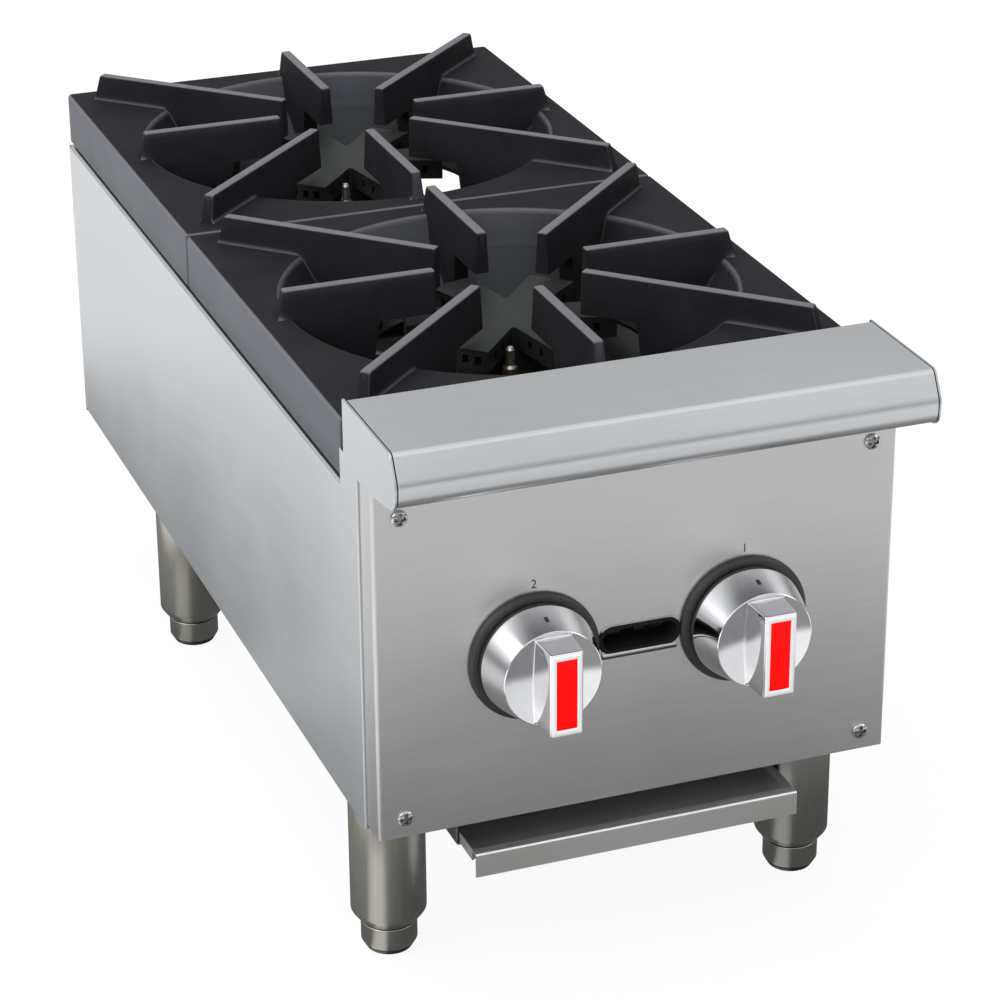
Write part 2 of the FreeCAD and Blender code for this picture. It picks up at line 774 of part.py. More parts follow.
def burner_head(centre_y):
    # Hollow star of arms on a hub, with square ports in the arms' ends and sides.
    boss = cup_radius - cup_wall - cup_clear
    hub = Part.makeCylinder(head_hub, head_height, vec(0, 0, cup_rim))
    plug = Part.makeCylinder(boss, cup_depth, vec(0, 0, cup_rim - cup_depth))
    roof = head_top - head_wall
    floor = head_top - head_arm_height + head_wall
    low = cup_rim - 2 * cup_depth
    hollow = Part.makeCylinder(riser_bore, roof - low, vec(0, 0, low))
    solids = []
    cuts = [hollow]
    for i in range(head_arms):
        arm = head_arm(head_reach, head_arm_root, head_arm_tip, head_top - head_arm_height, head_top)
        reach, root, tip = [size - head_wall for size in (head_reach, head_arm_root, head_arm_tip)]
        room = head_arm(reach, root, tip, floor, roof)
        middle = (floor + roof) / 2
        holes = [port((head_reach - head_wall, head_reach), (y, y), middle)
                 for y in [(k - (head_ports - 1) / 2) * head_port_pitch for k in range(head_ports)]]
        holes += [port((x, x), (-head_arm_tip, head_arm_tip), middle) for x in head_side_ports]
        angle = head_first_arm + 360 * i / head_arms
        for piece in [arm, room] + holes:
            piece.rotate(vec(0, 0, 0), vec(0, 0, 1), angle)
        solids.append(arm)
        cuts += [room] + holes
    head = joined(hub, plug, *solids)
    for piece in cuts:
        head = head.cut(piece)
    head.translate(vec(0, centre_y, 0))
    return head.removeSplitter()


def burner_body(centre_y, x):
    # Casting: a mixing tube from the valve, an offset to the burner's centre and a riser with a cup.
    mouth = vec(x, mixer_mouth, knob_z)
    turn = vec(x, centre_y, knob_z)
    foot_point = vec(0, centre_y, knob_z)
    up = vec(0, 0, 1)
    back = vec(0, 1, 0)
    cup_base = cup_rim - cup_height
    tubes = [rod(mixer_radius, mouth, turn), Part.makeSphere(mixer_radius, turn),
             rod(mixer_radius, turn, foot_point), Part.makeSphere(riser_radius, foot_point)]
    tubes.append(rod(riser_radius, foot_point, vec(0, centre_y, cup_base)))
    tubes.append(Part.makeCylinder(collar_radius, collar_height, vec(0, centre_y, support_z)))
    cone_base = vec(0, centre_y, cup_base - cup_taper)
    tubes.append(Part.makeCone(riser_radius, cup_radius, cup_taper, cone_base, up))
    tubes.append(Part.makeCylinder(cup_radius, cup_height, vec(0, centre_y, cup_base)))
    tubes.append(Part.makeCylinder(mouth_radius, mouth_length, mouth, back))
    tubes.append(Part.makeCone(mouth_radius, mixer_radius, mouth_taper, mouth + back * mouth_length, back))
    casting = joined(tubes[0], *tubes[1:])
    recess = Part.makeCylinder(cup_radius - cup_wall, 2 * cup_depth, vec(0, centre_y, cup_rim - cup_depth))
    throat = mouth_radius - mouth_wall
    cuts = [recess, rod(mixer_bore, mouth, turn), Part.makeSphere(mixer_bore, turn),
            rod(mixer_bore, turn, foot_point), Part.makeSphere(riser_bore, foot_point),
            rod(riser_bore, foot_point, vec(0, centre_y, cup_rim)),
            Part.makeCylinder(throat, mouth_length, mouth, back),
            Part.makeCone(throat, mixer_bore, mouth_taper, mouth + back * mouth_length, back)]
    cuts += shutter_windows(x, mouth_radius + mouth_wall)
    for piece in cuts:
        casting = casting.cut(piece)
    return casting


def shutter_windows(x, reach):
    # Air slots round the mouth of a mixing tube.
    middle = mixer_mouth + shutter_set + shutter_length / 2
    y = (middle - shutter_slot_length / 2, middle + shutter_slot_length / 2)
    windows = []
    for i in range(shutter_slots):
        half = shutter_slot_width / 2
        slot = block((mouth_radius - 2 * mouth_wall, reach), y, (-half, half))
        slot.rotate(vec(0, 0, 0), vec(0, 1, 0), 360 * i / shutter_slots)
        slot.translate(vec(x, 0, knob_z))
        windows.append(slot)
    return windows


def air_shutter(x):
    # Slotted ring that turns on the mouth of the mixing tube.
    inner = mouth_radius + shutter_fit
    outer = inner + shutter_wall
    start = vec(x, mixer_mouth + shutter_set, knob_z)
    end = start + vec(0, shutter_length, 0)
    ring = rod(outer, start, end).cut(rod(inner, start, end))
    for slot in shutter_windows(x, outer + mouth_wall):
        ring = ring.cut(slot)
    return ring


def burner_support(centre_y):
    # Bar across the body that the burner's collar sits on, with a tab for the pilot's tube.
    top = support_z
    y = (centre_y - support_width / 2, centre_y + support_width / 2)
    path = [(y[0], top - support_lip), (y[0], top), (y[1], top), (y[1], top - support_lip)]
    start = vec(-inner_half, 0, 0)
    bar = folded_sheet(path, support_sheet, -1, [bend, bend], in_yz, start, vec(2 * inner_half, 0, 0))
    end_y = (y[0] + support_lip, y[1] - support_lip)
    ends = [block(x, end_y, (top - support_sheet, top + support_end)) for x in
            ((-inner_half, -inner_half + support_sheet), (inner_half - support_sheet, inner_half))]
    tip_y = centre_y + pilot_tip_y
    tab = block((pilot_tip_x - pilot_tab_width / 2, pilot_tip_x + pilot_tab_width / 2),
                (tip_y - pilot_tab_over, centre_y - riser_radius), (top - support_sheet, top))
    bar = joined(bar, tab, *ends)
    low, length = top - 2 * support_lip, 4 * support_lip
    hole = Part.makeCylinder(riser_radius + support_clear, length, vec(0, centre_y, low))
    tube = Part.makeCylinder(pilot_tube_radius + pilot_tube_clear, length, vec(pilot_tip_x, tip_y, low))
    return bar.cut(hole).cut(tube)


def pipe_between(start, end):
    return rod(pipe_radius, start, end).cut(rod(pipe_bore, start, end))


def manifold_pipe():
    start = vec(-pipe_left_reach, pipe_y, pipe_z)
    end = vec(supply_x - elbow_set, pipe_y, pipe_z)
    pipe = pipe_between(start, end)
    taps = [(sign * knob_x, stub_radius) for name, sign in sides]
    taps += [(sign * pilot_x, pilot_stub_radius) for name, sign in sides]
    for x, radius in taps:
        pipe = pipe.cut(Part.makeCylinder(radius + stub_clear, 2 * pipe_radius, vec(x, pipe_y, pipe_z)))
    return pipe


def manifold_cap():
    end = vec(-pipe_left_reach, pipe_y, pipe_z)
    body = rod(elbow_radius, end - vec(cap_floor, 0, 0), end + vec(cap_length - cap_floor, 0, 0))
    return body.cut(rod(pipe_radius + pipe_fit, end, end + vec(cap_length, 0, 0)))


def manifold_elbow():
    at = vec(supply_x, pipe_y, pipe_z)
    left = vec(-elbow_reach, 0, 0)
    back = vec(0, elbow_reach, 0)
    body = joined(Part.makeSphere(elbow_radius, at), rod(elbow_radius, at, at + left),
                  rod(elbow_radius, at, at + back))
    cuts = [Part.makeSphere(pipe_bore, at), rod(pipe_bore, at, at + left), rod(pipe_bore, at, at + back)]
    for run in (left, back):
        socket = at + run * (elbow_set / elbow_reach)
        cuts.append(rod(pipe_radius + pipe_fit, socket, at + run))
    for piece in cuts:
        body = body.cut(piece)
    return body


def supply_pipe():
    # Runs from the elbow out through the back panel to a thread, which is a plain turned-down end here.
    start = vec(supply_x, pipe_y + elbow_set, pipe_z)
    end = vec(supply_x, body_depth + inlet_reach, pipe_z)
    shoulder = end - vec(0, inlet_thread, 0)
    pipe = joined(rod(pipe_radius, start, shoulder), rod(inlet_radius, shoulder, end))
    return pipe.cut(rod(pipe_bore, start, end))


def manifold_bracket(sign):
    # Saddle plate that stands on the front base rail.
    x = sign * bracket_x
    thick = (x - bracket_thick / 2, x + bracket_thick / 2)
    width = (pipe_y - bracket_width / 2, pipe_y + bracket_width / 2)
    plate = block(thick, width, (rail_top, pipe_z))
    inward = -sign * bracket_foot
    base_y = (front_leg_y - rail_width / 2 + rail_thick + bend, width[1])
    base = block((min(x, x + inward), max(x, x + inward)), base_y, (rail_top, rail_top + bracket_thick))
    post = joined(plate, base)
    below = block(thick, (width[0] - 1, base_y[0]), (rail_top - 1, rail_top + rail_rise + bend))
    saddle = rod(pipe_radius, vec(thick[0] - 1, pipe_y, pipe_z), vec(thick[1] + 1, pipe_y, pipe_z))
    return post.cut(below).cut(saddle)


def valve_body(sign):
    # Tapered-plug valve: body, front nut and the stub that screws into the manifold.
    front = vec(sign * knob_x, valve_front, knob_z)
    back = vec(sign * knob_x, valve_back, knob_z)
    nut = hexagon(2 * valve_nut, front, vec(0, valve_nut_length, 0))
    stub_end = pipe_z + pipe_radius - (pipe_radius - pipe_bore) + stub_depth - pipe_fit
    stub = rod(stub_radius, vec(front.x, pipe_y, knob_z), vec(front.x, pipe_y, stub_end))
    body = joined(rod(valve_radius, front, back), nut, stub)
    bore = rod(stem_radius + stem_fit, front, front + vec(0, stem_depth, 0))
    return body.cut(bore)


def valve_stem(sign):
    x = sign * knob_x
    inside = vec(x, valve_front + stem_depth - 2 * stem_fit, knob_z)
    return rod(stem_radius, vec(x, knob_wall - knob_depth, knob_z), inside)


def orifice(sign):
    # Brass spud on the valve's outlet, with its nozzle in the mouth of the mixing tube.
    start = vec(sign * knob_x, valve_back, knob_z)
    neck = start + vec(0, orifice_hex_length, 0)
    tip_length = orifice_length - orifice_hex_length
    bar = hexagon(2 * orifice_radius, start, vec(0, orifice_hex_length, 0))
    nozzle = Part.makeCone(orifice_radius * 0.85, orifice_tip, tip_length, neck, vec(0, 1, 0))
    bore = rod(orifice_bore, start, start + vec(0, orifice_length, 0))
    return joined(bar, nozzle).cut(bore)


def pilot_valve(sign):
    # Needle valve behind the slot: a block on a stub, with a slotted adjusting screw in front.
    x = sign * pilot_x
    front = pipe_y - pilot_block_depth / 2
    z = (knob_z - pilot_block_height / 2, knob_z + pilot_block_height / 2)
    half = pilot_block_width / 2
    body = block((x - half, x + half), (front, front + pilot_block_depth), z)
    low = pipe_z + pipe_bore + stub_depth
    stub = rod(pilot_stub_radius, vec(x, pipe_y, low), vec(x, pipe_y, knob_z))
    needle = rod(pilot_screw_radius, vec(x, front - pilot_screw_length, knob_z), vec(x, front, knob_z))
    slit = block((x - pilot_screw_radius, x + pilot_screw_radius),
                 (front - pilot_screw_length, front - pilot_screw_length + pilot_screw_slot),
                 (knob_z - pilot_screw_slot / 2, knob_z + pilot_screw_slot / 2))
    return joined(body, stub, needle).cut(slit)


def pilot_route(name, centre_y, sign):
    # The tube's corner points, from the pilot valve to the foot of the tip.
    x = sign * pilot_x
    start = vec(x, pipe_y + pilot_block_depth / 2, knob_z)
    low = vec(pilot_tip_x, centre_y + pilot_tip_y, knob_z)
    top = vec(low.x, low.y, cup_rim + pilot_tip_rise - pilot_tip_height + pilot_tip_lap)
    if name == "front":
        return [start, vec(x, pilot_pass_front, knob_z), low, top]
    passing = [vec(x, pilot_pass_start + pilot_block_depth, knob_z),
               vec(pilot_pass_x, pilot_pass_front + pilot_pass_start, knob_z),
               vec(pilot_pass_x, centre_y - pilot_pass_back, knob_z)]
    return [start] + passing + [low, top]


def pilot_tube(name, centre_y, sign):
    points = pilot_route(name, centre_y, sign)
    wire = path_wire(points, [pilot_tube_bend] * len(points), False)
    solids = []
    for radius in (pilot_tube_radius, pilot_tube_bore):
        ring = Part.Wire(Part.makeCircle(radius, points[0], points[1] - points[0]))
        solids.append(wire.makePipeShell([ring], True, True))
        ratio = solids[-1].Volume / (math.pi * radius ** 2 * wire.Length)
        print("  tube", name, "volume over section times length", round(ratio, 4))
    return solids[0].cut(solids[1])


def pilot_tip(centre_y):
    # Nozzle over the end of the pilot's tube, beside the burner.
    top_z = cup_rim + pilot_tip_rise
    low = vec(pilot_tip_x, centre_y + pilot_tip_y, top_z - pilot_tip_height)
    up = vec(0, 0, 1)
    shank = pilot_tip_height * 0.75
    rise = pilot_tip_height - shank
    nose = Part.makeCone(pilot_tip_radius, pilot_tip_radius / 2, rise, low + up * shank, up)
    body = joined(Part.makeCylinder(pilot_tip_radius, shank, low, up), nose)
    socket = Part.makeCylinder(pilot_tube_radius, pilot_tip_lap, low, up)
    jet = Part.makeCylinder(pilot_tube_radius / 4, pilot_tip_height, low, up)
    return body.cut(socket).cut(jet)


def knob(sign):
    # Hollow skirt with a flat face and a tall grip bar that takes the coloured insert.
    at = vec(sign * knob_x, 0, knob_z)
    front = vec(0, -1, 0)
    face_base = knob_depth - knob_edge
    outline = [(0, -knob_back), (knob_base, -knob_back), (knob_base, -knob_back + knob_edge),
               (knob_face + knob_edge / 2, face_base), (knob_face, knob_depth), (0, knob_depth)]
    skirt = turned(outline, at, front)
    room_depth = knob_depth - knob_wall
    room = turned([(knob_boss, -knob_back - 1), (knob_base - knob_wall, -knob_back - 1),
                   (knob_face - knob_wall, room_depth), (knob_boss, room_depth)], at, front)
    skirt = skirt.cut(room)
    root = -(knob_depth - knob_wall / 2)
    wide, slim = grip_root / 2, grip_width / 2
    section = [(-wide, root), (-slim, grip_front), (slim, grip_front), (wide, root)]
    bar = plain(section, in_xy, vec(at.x, 0, knob_z - grip_length / 2), vec(0, 0, grip_length))
    edges = [e for e in bar.Edges if e.BoundBox.YMax < grip_front + 1e-6 or
             (e.BoundBox.YMin < grip_front + 1e-6 and e.BoundBox.ZLength < 1e-6)]
    bar = bar.makeFillet(grip_edge, edges)
    whole = joined(skirt, bar)
    return whole.cut(knob_insert(sign)).cut(valve_stem(sign))


def knob_insert(sign):
    # Coloured strip, flush in the front of the grip bar.
    x = sign * knob_x
    return block((x - insert_width / 2, x + insert_width / 2), (grip_front, grip_front + insert_depth),
                 (knob_z - insert_length / 2, knob_z + insert_length / 2))


def knob_bezel(sign):
    # Dark ring on the panel behind the knob.
    at = vec(sign * knob_x, 0, knob_z)
    points = [(stem_hole, 0), (bezel_radius, 0), (bezel_radius, bezel_thick - bezel_edge),
              (bezel_radius - bezel_edge, bezel_thick), (stem_hole, bezel_thick)]
    return turned(points, at, vec(0, -1, 0))


def build():
    os.makedirs("parts", exist_ok=True)
    for name, sign in sides:
        save(name + "_side_panel", side_panel(sign))
        save("ledge_cap_" + name, ledge_cap(sign))
        save("corner_post_" + name, corner_post(sign))
        save("tray_runner_" + name, tray_runner(sign))
        save("valve_body_" + name, valve_body(sign))
        save("valve_stem_" + name, valve_stem(sign))
        save("orifice_" + name, orifice(sign))
        save("pilot_valve_" + name, pilot_valve(sign))
        save("knob_" + name, knob(sign))
        save("knob_insert_" + name, knob_insert(sign))
        save("knob_bezel_" + name, knob_bezel(sign))
    save("back_panel", back_panel())
    save("front_panel", front_panel())
    save("front_ledge", front_ledge())
    save("front_crossmember", front_crossmember())
    save("middle_crossmember", middle_crossmember())
    save("front_base_rail", base_rail(front_leg_y))
    save("rear_base_rail", base_rail(rear_leg_y))
    for place, x, y in leg_places():
        save("leg_" + place, leg(x, y))
        save("foot_" + place, foot(x, y))
    save("leg_nuts", *[leg_nut(x, y) for place, x, y in leg_places()])
    save("crumb_tray", crumb_tray())
    for name, y, x in burners:
        save("grate_" + name, grate(y))
        save("burner_head_" + name, burner_head(y))
        save("burner_body_" + name, burner_body(y, x))
        save("air_shutter_" + name, air_shutter(x))
        save("burner_support_" + name, burner_support(y))
        save("pilot_tube_" + name, pilot_tube(name, y, math.copysign(1, x)))
        save("pilot_tip_" + name, pilot_tip(y))
    save("manifold_pipe", manifold_pipe())
    save("manifold_cap", manifold_cap())
    save("manifold_elbow", manifold_elbow())
    save("supply_pipe", supply_pipe())
    save("manifold_brackets", *[manifold_bracket(sign) for name, sign in sides])
    save("front_panel_screws", *[screw(place, vec(0, -1, 0)) for place in panel_screw_places()])
    save("back_panel_screws", *[screw(place, vec(0, 1, 0)) for name, sign in sides
                                for place in back_screw_places(sign)])


build()
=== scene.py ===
import bpy
import bmesh
import json
import math
import numpy as np
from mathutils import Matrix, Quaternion, Vector


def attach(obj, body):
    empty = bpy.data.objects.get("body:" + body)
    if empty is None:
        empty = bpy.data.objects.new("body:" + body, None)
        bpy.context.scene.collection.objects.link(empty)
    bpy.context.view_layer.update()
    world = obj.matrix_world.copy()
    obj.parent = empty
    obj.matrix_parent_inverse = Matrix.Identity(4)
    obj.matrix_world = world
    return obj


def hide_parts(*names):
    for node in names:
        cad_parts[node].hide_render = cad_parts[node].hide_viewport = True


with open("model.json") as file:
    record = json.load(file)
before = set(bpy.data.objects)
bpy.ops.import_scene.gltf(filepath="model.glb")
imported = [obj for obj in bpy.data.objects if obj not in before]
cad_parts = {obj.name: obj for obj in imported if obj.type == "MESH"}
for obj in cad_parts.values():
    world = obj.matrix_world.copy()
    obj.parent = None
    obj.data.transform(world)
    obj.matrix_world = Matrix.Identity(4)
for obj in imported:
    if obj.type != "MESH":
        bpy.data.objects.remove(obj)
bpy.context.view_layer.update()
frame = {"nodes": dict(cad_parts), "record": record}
nodes = frame["nodes"]
print("frame loaded:", len(nodes), "nodes")


def addObject(name, data):
    # a new object in the scene, at the origin
    item = bpy.data.objects.new(name, data)
    bpy.context.scene.collection.objects.link(item)
    return item


# The camera's place, in metres and radians, from the straight edges of the photograph
cameraView = {"eye": (-0.63152, -1.80585, 1.03274), "yaw": 0.35499, "pitch": -0.43153, "roll": 0.00732,
              "focalPixels": 3271.96, "framePixels": 1000, "sensor": 36, "clip": (0.05, 60)}


def makeCamera():
    # forward is the view axis turned by yaw from +Y towards +X and lowered by pitch
    yaw, pitch = cameraView["yaw"], cameraView["pitch"]
    forward = Vector((math.sin(yaw) * math.cos(pitch), math.cos(yaw) * math.cos(pitch), math.sin(pitch)))
    data = bpy.data.cameras.new("photoCamera")
    data.sensor_width = cameraView["sensor"]
    data.lens = cameraView["sensor"] * cameraView["focalPixels"] / cameraView["framePixels"]
    data.clip_start, data.clip_end = cameraView["clip"]
    camera = addObject("photoCamera", data)
    camera.rotation_mode = "QUATERNION"
    camera.location = cameraView["eye"]
    camera.rotation_quaternion = Quaternion(forward, cameraView["roll"]) @ forward.to_track_quat("-Z", "Y")
    bpy.context.scene.camera = camera


# Node tools

def addNode(tree, kind, **values):
    node = tree.nodes.new("ShaderNode" + kind)
    for key, value in values.items():
        if key in node.inputs:
            node.inputs[key].default_value = value
        else:
            setattr(node, key, value)
    return node


def mapRange(tree, value, low, high, start, end, smooth=False):
    # value between low and high becomes a value between start and end
    node = addNode(tree, "MapRange", interpolation_type="SMOOTHSTEP" if smooth else "LINEAR")
    for label, number in (("From Min", low), ("From Max", high), ("To Min", start), ("To Max", end)):
        node.inputs[label].default_value = number
    tree.links.new(value, node.inputs["Value"])
    return node.outputs[0]


def doMath(tree, operation, first, second):
    # each side is a number or another node's output
    node = addNode(tree, "Math", operation=operation)
    for socket, side in zip(node.inputs, (first, second)):
        if isinstance(side, (int, float)):
            socket.default_value = side
        else:
            tree.links.new(side, socket)
    return node.outputs[0]


def doVector(tree, operation, first, second=None):
    # first is another node's output and second a fixed vector; the result is a number or a vector
    node = addNode(tree, "VectorMath", operation=operation)
    tree.links.new(first, node.inputs[0])
    if second is not None:
        node.inputs[1].default_value = second
    return node.outputs["Value" if operation in ("DOT_PRODUCT", "LENGTH") else "Vector"]


def axes(tree, vector):
    # the three coordinates of a vector
    node = addNode(tree, "SeparateXYZ")
    tree.links.new(vector, node.inputs[0])
    return node.outputs


def splitByRay(tree, others, camera, outKind):
    # light and reflections take the first shader, and the camera sees the second
    path, both, out = (addNode(tree, kind) for kind in ("LightPath", "MixShader", outKind))
    tree.links.new(path.outputs["Is Camera Ray"], both.inputs["Fac"])
    tree.links.new(others.outputs[0], both.inputs[1])
    tree.links.new(camera.outputs[0], both.inputs[2])
    tree.links.new(both.outputs[0], out.inputs["Surface"])


def newGroup(name, inputs, outputs):
    # inputs are (socket name, socket kind, default), and outputs have no default
    group = bpy.data.node_groups.new(name, "ShaderNodeTree")
    for label, kind, default in inputs:
        socket = group.interface.new_socket(label, in_out="INPUT", socket_type=kind)
        if default is not None:
            socket.default_value = default
    for label, kind in outputs:
        group.interface.new_socket(label, in_out="OUTPUT", socket_type=kind)
    return group, group.nodes.new("NodeGroupInput"), group.nodes.new("NodeGroupOutput")


# Studio: a sky made of soft glows, and a white floor that looks darker close to the object in reflections: a
# painted shadow of the object that only reflections see
sky = {"base": 0.48, "least": 0.02, "horizon": (0.0, 0.28, 0.45), "glows": [
    {"towards": (0.2, -0.1, 0.97), "near": 0.97, "far": 0.72, "tone": 0.9},
    {"towards": (0.25, 0.85, 0.45), "near": 0.95, "far": 0.5, "tone": 0.41},
    {"towards": (0.3, -0.8, 0.5), "near": 0.96, "far": 0.7, "tone": 0.6},
    {"towards": (-0.68, -0.42, 0.6), "near": 0.95, "far": 0.8, "tone": 2.2},
    {"towards": (0.82, -0.4, 0.39), "near": 0.985, "far": 0.94, "tone": 1.8},
    {"towards": (-0.85, 0.5, 0.2), "near": 0.9, "far": 0.5, "tone": 0.6},
]}
floorLook = {"reach": 12.0, "white": 1.0, "paper": (0.95, 0.95, 0.95, 1), "shadowShare": 0.07,
             "centre": (0.06, 0.0), "across": 0.42, "along": 0.77, "power": 4.0,
             "under": (0.42, 0.72, 0.13), "inner": 0.9, "outer": 1.0, "nearTone": 0.32, "farTone": 1.04,
             "left": (-0.24, -0.6, 0.34), "dim": (2.4, 5.0, 0.3)}
# painted light: bright strips of floor to the front left of three legs, which show in them as painted
# highlights
paintedLightWedges = {"feet": [(-0.1283, -0.2575, 0.7), (-0.1283, 0.162, 0.3), (0.1283, -0.2575, 0.42)],
          "towards": (-0.75, -0.66), "far": 0.88, "near": 0.975, "from": 0.16, "to": 0.2}
softBoxes = {
    "topBox": {"at": (-0.5, 0.3, 2.6), "aim": (0, 0, 0.2), "size": (2.0, 2.0), "watts": 36,
               "mirrored": False},
    "leftBox": {"at": (-2.2, -0.6, 1.7), "aim": (0, 0, 0.25), "size": (1.4, 1.4), "watts": 16,
                "mirrored": True},
}


def makeSky():
    # brightness is a base plus, for each glow, its tone where the direction is close to the glow's own
    world = bpy.data.worlds.new("studioSky")
    bpy.context.scene.world = world
    world.use_nodes = True
    tree = world.node_tree
    tree.nodes.clear()
    way = addNode(tree, "TexCoord").outputs["Generated"]
    total = sky["base"]
    for glow in sky["glows"]:
        close = doVector(tree, "DOT_PRODUCT", way, Vector(glow["towards"]).normalized())
        part = mapRange(tree, close, glow["far"], glow["near"], 0, glow["tone"], True)
        total = doMath(tree, "ADD", part, total)
    # close to the horizon the sky is dimmer
    low, high, dim = sky["horizon"]
    total = doMath(tree, "MULTIPLY", total, mapRange(tree, axes(tree, way)["Z"], low, high, dim, 1, True))
    shown = addNode(tree, "Background")
    tree.links.new(doMath(tree, "MAXIMUM", total, sky["least"]), shown.inputs["Strength"])
    # the camera itself sees plain white
    white = addNode(tree, "Background", Color=(1, 1, 1, 1))
    splitByRay(tree, shown, white, "OutputWorld")


def makeLamps():
    for name, box in softBoxes.items():
        data = bpy.data.lights.new(name, "AREA")
        data.shape = "RECTANGLE"
        data.size, data.size_y = box["size"]
        data.energy = box["watts"]
        lamp = addObject(name, data)
        lamp.location = box["at"]
        lamp.visible_glossy = box["mirrored"]
        aim = Vector(box["aim"]) - Vector(box["at"])
        lamp.rotation_euler = aim.to_track_quat("-Z", "Y").to_euler()


def makeFloor():
    reach = floorLook["reach"]
    mesh = bpy.data.meshes.new("studioFloor")
    corners = [(-reach, -reach, 0), (reach, -reach, 0), (reach, reach, 0), (-reach, reach, 0)]
    mesh.from_pydata(corners, [], [(0, 1, 2, 3)])
    floor = addObject("studioFloor", mesh)
    material = bpy.data.materials.new("floorPaper")
    material.use_nodes = True
    tree = material.node_tree
    tree.nodes.clear()
    # painted shadow: the tone in reflections grows with the distance from the object, measured in rounded
    # rectangles:
    # the fourth root of the sum of the fourth powers of the two scaled coordinates
    place = addNode(tree, "TexCoord").outputs["Object"]
    shifted = doVector(tree, "SUBTRACT", place, (*floorLook["centre"], 0))
    scale = (1 / floorLook["across"], 1 / floorLook["along"], 0)
    scaled = axes(tree, doVector(tree, "MULTIPLY", shifted, scale))
    sides = [doMath(tree, "ABSOLUTE", scaled[axis], 0) for axis in "XY"]
    powers = [doMath(tree, "POWER", side, floorLook["power"]) for side in sides]
    away = doMath(tree, "POWER", doMath(tree, "ADD", *powers), 1 / floorLook["power"])
    nearTone, farTone = floorLook["nearTone"], floorLook["farTone"]
    tone = mapRange(tree, away, floorLook["inner"], floorLook["outer"], nearTone, farTone, True)
    # painted shadow: right under the object the reflected floor is darker still
    start, end, share = floorLook["under"]
    tone = doMath(tree, "MULTIPLY", tone, mapRange(tree, away, start, end, share / nearTone, 1, True))
    # painted light: brighter on the left and in the wedges, dimmer far away
    near, far, gain = floorLook["left"]
    tone = doMath(tree, "ADD", tone, mapRange(tree, axes(tree, place)["X"], near, far, 0, gain, True))
    for x, y, bright in paintedLightWedges["feet"]:
        apart = doVector(tree, "SUBTRACT", place, (x, y, 0))
        aim = doVector(tree, "DOT_PRODUCT", doVector(tree, "NORMALIZE", apart), (*paintedLightWedges["towards"], 0))
        distance = doVector(tree, "LENGTH", apart)
        fading = mapRange(tree, distance, paintedLightWedges["from"], paintedLightWedges["to"], bright, 0, True)
        inside = mapRange(tree, aim, paintedLightWedges["far"], paintedLightWedges["near"], 0, 1, True)
        tone = doMath(tree, "ADD", tone, doMath(tree, "MULTIPLY", fading, inside))
    start, end, dim = floorLook["dim"]
    tone = doMath(tree, "MULTIPLY", tone, mapRange(tree, away, start, end, 1, dim, True))
    glow = addNode(tree, "Emission")
    tree.links.new(tone, glow.inputs["Strength"])
    white = addNode(tree, "Emission", Strength=floorLook["white"])
    paper = addNode(tree, "BsdfDiffuse", Color=floorLook["paper"])
    seen = addNode(tree, "MixShader", Fac=floorLook["shadowShare"])
    tree.links.new(white.outputs[0], seen.inputs[1])
    tree.links.new(paper.outputs[0], seen.inputs[2])
    # the camera sees white paper with a faint shadow, reflections see the toned floor
    splitByRay(tree, glow, seen, "OutputMaterial")
    mesh.materials.append(material)


# Finishes

# fine and broad: scales along and across the grain; clouds: scale of the slow variation
brushSkin = {"fine": (9, 1500, 1500), "broad": (30, 520, 520), "broadShare": 0.4, "detail": 2.0,
             "roughness": 0.6, "clouds": 6.0, "cloudDetail": 3.0, "cloudRoughness": 0.5}
# scale, detail and roughness of each noise
castSkin = {"Sand": (900.0, 4.0, 0.65), "Patch": (28.0, 5.0, 0.6)}
skinMix = {"slowShare": 0.5, "spread": (0.3, 0.7)}


def makeBrushGroup():
    # fine streaks: noise read on coordinates that are long along the grain, plus slow cloudy variation
    ins = [("Vector", "NodeSocketVector", None), ("Clouds", "NodeSocketFloat", brushSkin["clouds"])]
    outs = [("Streaks", "NodeSocketFloat"), ("Clouds", "NodeSocketFloat")]
    group, source, sink = newGroup("brushedGrain", ins, outs)
    link = group.links.new
    streaks = []
    for label in ("fine", "broad"):
        stretch = addNode(group, "Mapping", Scale=brushSkin[label])
        noise = addNode(group, "TexNoise", Scale=1.0, Detail=brushSkin["detail"])
        noise.inputs["Roughness"].default_value = brushSkin["roughness"]
        link(source.outputs["Vector"], stretch.inputs["Vector"])
        link(stretch.outputs[0], noise.inputs["Vector"])
        streaks.append(noise)
    both = addNode(group, "Mix", data_type="FLOAT", Factor=brushSkin["broadShare"])
    link(streaks[0].outputs["Fac"], both.inputs[2])
    link(streaks[1].outputs["Fac"], both.inputs[3])
    link(both.outputs[0], sink.inputs["Streaks"])
    cloud = addNode(group, "TexNoise", Detail=brushSkin["cloudDetail"], Roughness=brushSkin["cloudRoughness"])
    link(source.outputs["Vector"], cloud.inputs["Vector"])
    link(source.outputs["Clouds"], cloud.inputs["Scale"])
    link(cloud.outputs["Fac"], sink.inputs["Clouds"])
    return group


def makeCastGroup():
    # sand-cast skin: fine noise for the sand, coarser noise for scale and rubbed patches
    ins = [("Vector", "NodeSocketVector", None)]
    ins += [(label, "NodeSocketFloat", scale) for label, (scale, detail, rough) in castSkin.items()]
    outs = [(label, "NodeSocketFloat") for label in castSkin]
    group, source, sink = newGroup("castSkin", ins, outs)
    for label, (scale, detail, rough) in castSkin.items():
        noise = addNode(group, "TexNoise", Detail=detail, Roughness=rough)
        group.links.new(source.outputs["Vector"], noise.inputs["Vector"])
        group.links.new(source.outputs[label], noise.inputs["Scale"])
        group.links.new(noise.outputs["Fac"], sink.inputs[label])
    return group


groups = {"brush": makeBrushGroup(), "cast": makeCastGroup()}


